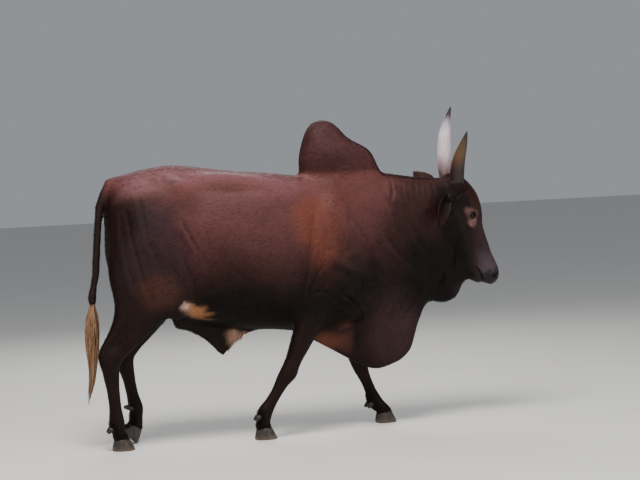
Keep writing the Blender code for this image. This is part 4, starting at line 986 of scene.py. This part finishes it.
def lock_mesh(name, points, faces, flat, colours, material, shade=None):
    """Locks as one smooth mesh, with their patches in OFBake and a colour for each point."""
    mesh = bpy.data.meshes.new(name)
    mesh.vertices.add(len(points))
    mesh.vertices.foreach_set("co", points.ravel())
    mesh.loops.add(faces.size)
    mesh.loops.foreach_set("vertex_index", faces.ravel().astype(np.int32))
    mesh.polygons.add(len(faces))
    mesh.polygons.foreach_set("loop_start", np.arange(0, faces.size, 3, dtype=np.int32))
    mesh.update(calc_edges=True)
    mesh.polygons.foreach_set("use_smooth", np.ones(len(faces), bool))
    if shade is not None:
        mesh.normals_split_custom_set_from_vertices(shade / np.linalg.norm(shade, axis=1, keepdims=True))
    layer = mesh.uv_layers.new(name="OFBake")
    layer.data.foreach_set("uv", flat[faces.ravel()].ravel())
    obj = new_object(name, mesh)
    paint(obj, colours)
    mesh.materials.append(material)
    return obj


def tufts(name, roots, normals, lie, length, width, lift, colours, material, rings=2, sink=0.0012,
          curl=None, thick=0.10):
    """Many flat tapered locks as one mesh: each is rooted in the skin, lies along the coat and
    tapers to a point."""
    count = len(roots)
    length, width, lift = (np.broadcast_to(a, (count,)).astype(float) for a in (length, width, lift))
    lie = lie - normals * np.sum(lie * normals, axis=1, keepdims=True)
    lie /= np.maximum(np.linalg.norm(lie, axis=1, keepdims=True), 1e-9)
    side = np.cross(normals, lie)
    curl = np.zeros(count) if curl is None else curl
    spots, shares = [], []
    for k in range(rings):
        share = k / rings
        wide = width * (0.75 + 0.6 * share - 1.15 * share ** 2) if k else width * 0.7
        middle = (roots - normals * (sink * (k == 0)) + lie * (length * share)[:, None]
                  + normals * (lift * math.sin(share * 2.2))[:, None]
                  + side * (curl * length * share ** 2)[:, None])
        spots += [middle + side * wide[:, None], middle + normals * (wide * thick)[:, None],
                  middle - side * wide[:, None]]
        shares += [(share, 1.0), (share, 0.0), (share, -1.0)]
    tip = (roots + lie * length[:, None] + normals * (lift * math.sin(2.2))[:, None]
           + side * (curl * length)[:, None])
    spots.append(tip)
    shares.append((1.0, 0.0))
    each = 3 * rings + 1
    points = np.stack(spots, 1).reshape(-1, 3)
    across = np.tile(np.array([s[1] for s in shares]), count)[:, None]
    shade = np.repeat(normals + 0.15 * lie, each, axis=0) + 0.30 * across * np.repeat(side, each, axis=0)
    flat = np.repeat(flat_place(roots), each, axis=0) + np.tile(np.array(shares), (count, 1)) * PATCH
    return lock_mesh(name, points, lock_faces(count, rings), flat, np.repeat(colours, each, axis=0),
                     material, shade)


def smooth_copy(name, node, crease=35):
    """A finer copy of a CAD node: its faces are rounded, and its sharp edges kept."""
    part = copy_of(node)
    bmesh.ops.dissolve_limit(part, angle_limit=math.radians(3), verts=part.verts[:], edges=part.edges[:])
    sharp = part.edges.layers.float.new("crease_edge")
    for edge in part.edges:
        if len(edge.link_faces) == 2 and edge.calc_face_angle() > math.radians(crease):
            edge[sharp] = 0.75
    obj = built(name, part)
    rounder = obj.modifiers.new("round", "SUBSURF")
    rounder.levels = rounder.render_levels = 2
    return smooth(settled(obj))


def finish_piece(obj, nodes, material=None):
    if material is not None:
        obj.data.materials.clear()
        obj.data.materials.append(material)
    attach(obj, "root")
    if nodes:
        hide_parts(*nodes)
    return obj


class Ground:
    """The hide's triangles, where tufts take root with the skin's own colour."""

    def __init__(self, obj, tones):
        mesh = obj.data
        mesh.calc_loop_triangles()
        self.corners = np.empty(len(mesh.loop_triangles) * 3, int)
        mesh.loop_triangles.foreach_get("vertices", self.corners)
        self.corners = self.corners.reshape(-1, 3)
        self.points, self.normals = np.empty((2, len(mesh.vertices) * 3))
        mesh.vertices.foreach_get("co", self.points)
        mesh.vertices.foreach_get("normal", self.normals)
        self.points, self.normals = self.points.reshape(-1, 3), self.normals.reshape(-1, 3)
        self.tones = tones
        a, b, c = (self.points[self.corners[:, i]] for i in range(3))
        self.area = np.linalg.norm(np.cross(b - a, c - a), axis=1) / 2
        self.middles = (a + b + c) / 3
        self.facing = self.normals[self.corners].mean(1)
        self.bare = tones[self.corners, 3].mean(1)

    def roots(self, count, weight, chance):
        """Places by chance, as many where the weight is greater."""
        share = self.area * weight * (1 - self.bare)
        chosen = chance.choice(len(share), count, p=share / share.sum())
        r1, r2 = np.sqrt(chance.random(count)), chance.random(count)
        mix = np.stack([1 - r1, r1 * (1 - r2), r1 * r2], 1)
        corner = self.corners[chosen]
        place, normal, tone = (np.einsum("nk,nkc->nc", mix, values[corner])
                               for values in (self.points, self.normals, self.tones))
        return place, normal / np.linalg.norm(normal, axis=1, keepdims=True), tone


def lie_of(points):
    """The way the coat lies: back and down the body, down legs and dewlap, down the face."""
    head, legs, tail = head_mask(points), leg_mask(points), tail_mask(points)
    x, y, z = points.T
    body = np.column_stack([-0.9 * np.ones(len(x)), 0 * x, -0.25 - 0.55 * step(-z, -1.10, -0.80)])
    front = step(x, 0.18, 0.40)[:, None]
    body = body * (1 - front) + np.array([-0.45, 0, -0.9]) * front
    turned = lean(np.array([[0.95, 0, 1.0], np.array([0.95, 0, 1.0]) + np.array(DOWN_FACE)]))
    face = turned[1] - turned[0]
    down = np.array([-0.12, 0, -1.0])
    for share, way in ((legs * (1 - head), down), (tail, down), (head, face)):
        body = body * (1 - share[:, None]) + way * share[:, None]
    for side in (-1, 1):
        root, way = ear_frame(side)[:2]
        share = (ear_mask(points) * (np.sign(points[:, 1] - root.y * 0.4) == side))[:, None]
        body = body * (1 - share) + np.array(way) * share
    return body


TUFT_LINE = (
    (0.654, -0.8073, 0.0200), (0.625, -0.809, 0.0265), (0.585, -0.812, 0.0310), (0.530, -0.814, 0.0330),
    (0.470, -0.816, 0.0320), (0.415, -0.817, 0.0255), (0.360, -0.819, 0.0185), (0.300, -0.826, 0.0150),
    (0.250, -0.838, 0.0105), (0.205, -0.848, 0.0050),
)


def tail_tuft(material):
    """The tail's blond tuft: a thousand long locks from the tail's end, as one mesh."""
    chance = np.random.default_rng(SEED)
    table = np.array(TUFT_LINE)[::-1]
    count, rings = 1000, 9
    top = 0.668 - 0.20 * chance.random(count) ** 1.6
    angle = chance.random(count) * 2 * math.pi
    depth = chance.random(count) ** 0.5
    length = np.minimum(chance.uniform(0.15, 0.34, count), top - chance.uniform(0.178, 0.30, count))
    sway = chance.normal(0, 0.35, count)
    width = chance.uniform(0.0009, 0.0022, count)
    spots = []
    for k in range(rings + 1):
        share = k / rings
        z = top - length * share
        middle = np.interp(z, table[:, 0], table[:, 1]) + SHIFT[0]
        reach = np.interp(z, table[:, 0], table[:, 2]) * (0.55 + 0.45 * min(share * 3, 1)) * depth
        turn = angle + sway * share
        out = np.stack([np.cos(turn), np.sin(turn), np.zeros(count)], 1)
        across = np.stack([-np.sin(turn), np.cos(turn), np.zeros(count)], 1)
        wave = 0.0016 * np.sin(share * 9 + angle * 3)
        centre = out * reach[:, None] + across * wave[:, None]
        centre[:, 0] += middle
        centre[:, 2] += z
        wide = width * (1 - share ** 2.5) * (0.6 + 0.4 * min(share * 5, 1)) + 0.0001
        if k < rings:
            spots += [centre + across * wide[:, None], centre + out * (wide * 0.5)[:, None],
                      centre - across * wide[:, None]]
        else:
            spots.append(centre)
    each = 3 * rings + 1
    points = np.stack(spots, 1).reshape(-1, 3)
    flat = np.column_stack([0.02 + 0.60 * (1.2 - points[::each, 2]) / 1.1,
                            0.84 + 0.12 * (angle / (2 * math.pi))])
    patch = np.array([(k / rings, i - 1.0) for k in range(rings) for i in range(3)] + [(1.0, 0.0)])
    flat = (flat[:, None] + patch[None] * PATCH).reshape(-1, 2)
    tone = chance.random(count)[:, None]
    base = linear(186, 146, 112) * (1 - tone) + linear(124, 90, 68) * tone
    dark = (chance.random(count) < 0.16)[:, None]
    base = np.where(dark, linear(58, 38, 32), base)
    fade = np.tile(patch[:, 0], count)[:, None]
    shade = np.repeat(base, each, axis=0) * (0.55 + 0.45 * np.clip(fade * 6, 0, 1))
    shade = shade * (1 - 0.25 * fade)
    return lock_mesh("tail_tuft", points, lock_faces(count, rings, True), flat,
                     np.column_stack([shade, np.zeros(len(shade))]), material)


# The hide and its coat
hide = dress_flesh()
places = np.array([v.co[:] for v in hide.data.vertices])
faces_out = np.empty(len(places) * 3)
hide.data.vertices.foreach_get("normal", faces_out)
tones = coat_colour(places, faces_out.reshape(-1, 3))
# Painted shade: the hide's colour is darkened in its folds and creases
tones[:, :3] *= 1 - 0.65 * painted_crease_shade(Hide(hide.data))[:, None]
paint(hide, tones)
COAT = hide_material()
LOCKS = tuft_material("long_hair")
GROUND = Ground(hide, tones)
MIDDLES, FACING = GROUND.middles, GROUND.facing
ON_HEAD, ON_LEGS, ON_EARS = head_mask(MIDDLES), leg_mask(MIDDLES), ear_mask(MIDDLES)
ON_HEAD = np.clip(ON_HEAD - ON_EARS, 0, 1)
OFF = (1 - ON_HEAD) * (1 - ON_EARS)


def coat_piece(name, groups, seed):
    """One mesh of tufts. Each group is a count, a weight over the hide, length, width, lift and an
    own way to lie, if any, with a share of the coat's."""
    chance = np.random.default_rng(seed)
    made = [[] for _ in range(7)]
    for count, weight, length, width, lift, own in groups:
        place, normal, tone = GROUND.roots(count, weight, chance)
        lie = lie_of(place)
        lie /= np.linalg.norm(lie, axis=1, keepdims=True)
        if own is not None:
            lie = lie * own[1] + np.array(own[0])
        lie = lie + chance.normal(0, 0.16, (count, 3))
        tone = tone.copy()
        tone[:, :3] *= chance.uniform(0.93, 1.12, count)[:, None]
        size = chance.uniform(0.7, 1.2, count)
        for kept, values in zip(made, (place, normal, lie, length * size, width * size ** 0.5,
                                       lift * chance.uniform(0.4, 1.3, count), tone)):
            kept.append(values)
    place, normal, lie, length, width, lift, tone = (np.concatenate(kept) for kept in made)
    return tufts(name, place, normal, lie, length, width, lift, tone, COAT,
                 curl=chance.normal(0, 0.12, len(place)))


def lashes():
    """Two rows of lashes on each eye, as roots, up, way and length."""
    rows = []
    for side in (-1, 1):
        centre, look, corner, up = lid_frame(side)
        for count, rise, most, droop in ((30, 1, 0.017, -0.15), (20, -1, 0.009, 0.15)):
            for a in np.linspace(-0.014, 0.0125, count):
                b = rise * (0.0098 if rise > 0 else 0.0084) * (1 - (abs(a) / LID_HALF) ** 2.1) ** 0.8
                ahead = math.sqrt((EYE_RADIUS + 0.0016) ** 2 - a * a - b * b)
                root = centre + look * ahead + corner * a + up * b
                way = look + up * (rise * 0.45 + droop) + corner * (a * 18)
                rows.append((root, up * rise, way, most * (0.7 + 0.3 * math.cos(a * 90))))
    return rows


X, Y, Z = MIDDLES.T
UP, DOWN = FACING[:, 2], -FACING[:, 2]
S, T = head_axes(MIDDLES)[:2]
SHEATH = on_side(Hide(hide.data).tree(), ((236, 334), (232, 338)))
AT_SHEATH = near_places(MIDDLES, SHEATH, 0.035).astype(float)
CREST = step(X, 0.20, 0.28) * (1 - step(np.abs(Y), 0.015, 0.040)) * step(UP, 0.2, 0.6) * OFF
RIDGE = (1 - step(X, 0.20, 0.28)) * (1 - step(np.abs(Y), 0.03, 0.10)) * step(UP, 0.5, 0.8) * OFF
HUMP = step(Z, 1.19, 1.24) * step(X, -0.02, 0.05) * OFF
BELLY = step(DOWN, 0.2, 0.7) * step(Z, 0.44, 0.50) * OFF
BACKS = step(-FACING[:, 0], 0.55, 0.9) * step(Z, 0.30, 0.40) * OFF
FETLOCK = (1 - step(np.abs(Z - 0.105), 0.02, 0.045)) * step(-FACING[:, 0], 0.1, 0.6)
CORONET = 1 - step(np.abs(Z - 0.066), 0.008, 0.016)
PIECES = [
    ("top_hair", ((6500, RIDGE, 0.017, 0.0011, 0.0030, None), (4500, CREST, 0.020, 0.0011, 0.0036, None),
                  (7500, HUMP, 0.016, 0.0012, 0.0022, None))),
    ("under_hair", ((8500, BELLY, 0.018, 0.0011, 0.0026, None),
                    (500, AT_SHEATH, 0.040, 0.0014, 0.004, ((0, 0, -1.5), 0.4)),
                    (8500, BACKS, 0.016, 0.0011, 0.0035, None))),
    ("leg_hair", ((9000, ON_LEGS * (Z > 0.06), 0.010, 0.0009, 0.0016, None),
                  (4200, FETLOCK, 0.020, 0.0010, 0.0050, None),
                  (4600, CORONET, 0.016, 0.0010, 0.0030, None))),
    ("side_hair", ((18500, OFF * (1 - ON_LEGS), 0.020, 0.0015, 0.0010, None),)),
    ("flank_hair", ((18500, OFF * (1 - ON_LEGS), 0.018, 0.0013, 0.0009, None),)),
    ("head_hair", ((7000, ON_HEAD * (1 - step(S, 0.40, 0.47)), 0.0075, 0.0006, 0.0010, None),
                   (2600, ON_HEAD * (1 - step(S, 0.05, 0.12)), 0.018, 0.0010, 0.0036, None),
                   (1500, ON_HEAD * step(-T, 0.06, 0.10) * step(DOWN, 0.1, 0.6), 0.011, 0.0007, 0.0012,
                    None),
                  (110, ON_HEAD * step(S, 0.38, 0.44) * step(-T, -0.02, 0.02), 0.022, 0.0003, 0.0120, None),
                   (7000, ON_EARS, 0.012, 0.0008, 0.0018, None))),
]
BLINK = [np.array(column) for column in zip(*lashes())]
finish_piece(tufts("lashes", BLINK[0], BLINK[1], BLINK[2], BLINK[3], 0.00032, 0.0, np.tile(
    (*linear(16, 11, 10), 0.0), (len(BLINK[0]), 1)), LOCKS, rings=3, sink=0.0, thick=0.8), [])
for seed, (name, groups) in enumerate(PIECES):
    finish_piece(coat_piece(name, groups, 20 + seed), [])
finish_piece(hide, FLESH + ["ear_right", "ear_left"], COAT)

finish_piece(tail_tuft(LOCKS), ["tail_switch"])

# Horns, hooves and eyes
near_low, near_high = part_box("horn_right")
far_low, far_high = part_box("horn_left")
near = horn_material("horn_amber", ((0.28, linear(34, 15, 8)), (0.46, linear(72, 46, 24)),
                                    (0.58, linear(84, 60, 34)), (0.78, linear(70, 50, 32)),
                                    (0.94, linear(34, 24, 22))), near_low[2], near_high[2])
far = horn_material("horn_pale", ((0.16, linear(84, 62, 62)), (0.26, linear(134, 110, 114)),
                                  (0.42, linear(196, 178, 188)), (0.70, linear(208, 192, 204)),
                                  (0.90, linear(44, 30, 34))), far_low[2], far_high[2])
finish_piece(smooth_copy("near_horn", "horn_right"), ["horn_right"], near)
finish_piece(smooth_copy("far_horn", "horn_left"), ["horn_left"], far)
HOOF = hoof_material("hoof_horn", (linear(24, 20, 19), linear(46, 37, 33), linear(88, 73, 61)))
DARK_HOOF = hoof_material("dewclaw_horn", (linear(16, 13, 12), linear(28, 22, 20), linear(48, 39, 34)))
for claw in CLAWS:
    finish_piece(smooth_copy("hoof_" + claw, claw, 40), [claw],
                 DARK_HOOF if claw.startswith("dew") else HOOF)
for side, word in ((-1, "right"), (1, "left")):
    ball = bmesh.new()
    bmesh.ops.create_uvsphere(ball, u_segments=48, v_segments=24, radius=EYE_RADIUS)
    centre, look = lid_frame(side)[:2]
    turn = Vector((0, 0, 1)).rotation_difference(Vector(look)).to_matrix().to_4x4()
    bmesh.ops.transform(ball, matrix=Matrix.Translation(Vector(centre)) @ turn, verts=ball.verts)
    finish_piece(smooth(built("eyeball_" + word, ball)), ["eye_" + word],
                 eye_material("wet_eye_" + word, side))

# Floor, light and camera
sheet = bmesh.new()
bmesh.ops.create_grid(sheet, x_segments=2, y_segments=2, size=30)
floor = built("floor", sheet)
floor.data.materials.append(floor_material())

world = bpy.data.worlds.new("studio")
bpy.context.scene.world = world
world.use_nodes = True
world.node_tree.nodes["Background"].inputs[0].default_value = (0.80, 0.84, 0.90, 1)
world.node_tree.nodes["Background"].inputs[1].default_value = 0.37


def lamp(name, place, aim, size, power, tint):
    light = bpy.data.lights.new(name, "AREA")
    light.shape, light.size, light.energy, light.color = "DISK", size, power, tint
    obj = bpy.data.objects.new(name, light)
    bpy.context.scene.collection.objects.link(obj)
    obj.location = place
    obj.rotation_euler = (Vector(aim) - Vector(place)).to_track_quat("-Z", "Y").to_euler()


lamp("key", (-1.2, -2.6, 5.2), (0.0, 0.0, 0.9), 2.6, 450, (1.0, 0.97, 0.92))
lamp("fill", (3.6, -3.8, 2.0), (0.3, 0.0, 0.8), 3.0, 70, (0.92, 0.96, 1.0))
lamp("rim", (0.5, 4.2, 3.8), (0.0, 0.0, 1.0), 3.0, 130, (1.0, 0.98, 0.95))

camera = bpy.data.objects.new("camera", bpy.data.cameras.new("camera"))
bpy.context.scene.collection.objects.link(camera)
camera.data.lens, camera.data.sensor_width = LENS, SENSOR
camera.matrix_world = Matrix.Translation(STAND) @ Matrix((ACROSS, UPWARD, BACKWARD)).transposed().to_4x4()
bpy.context.scene.camera = camera
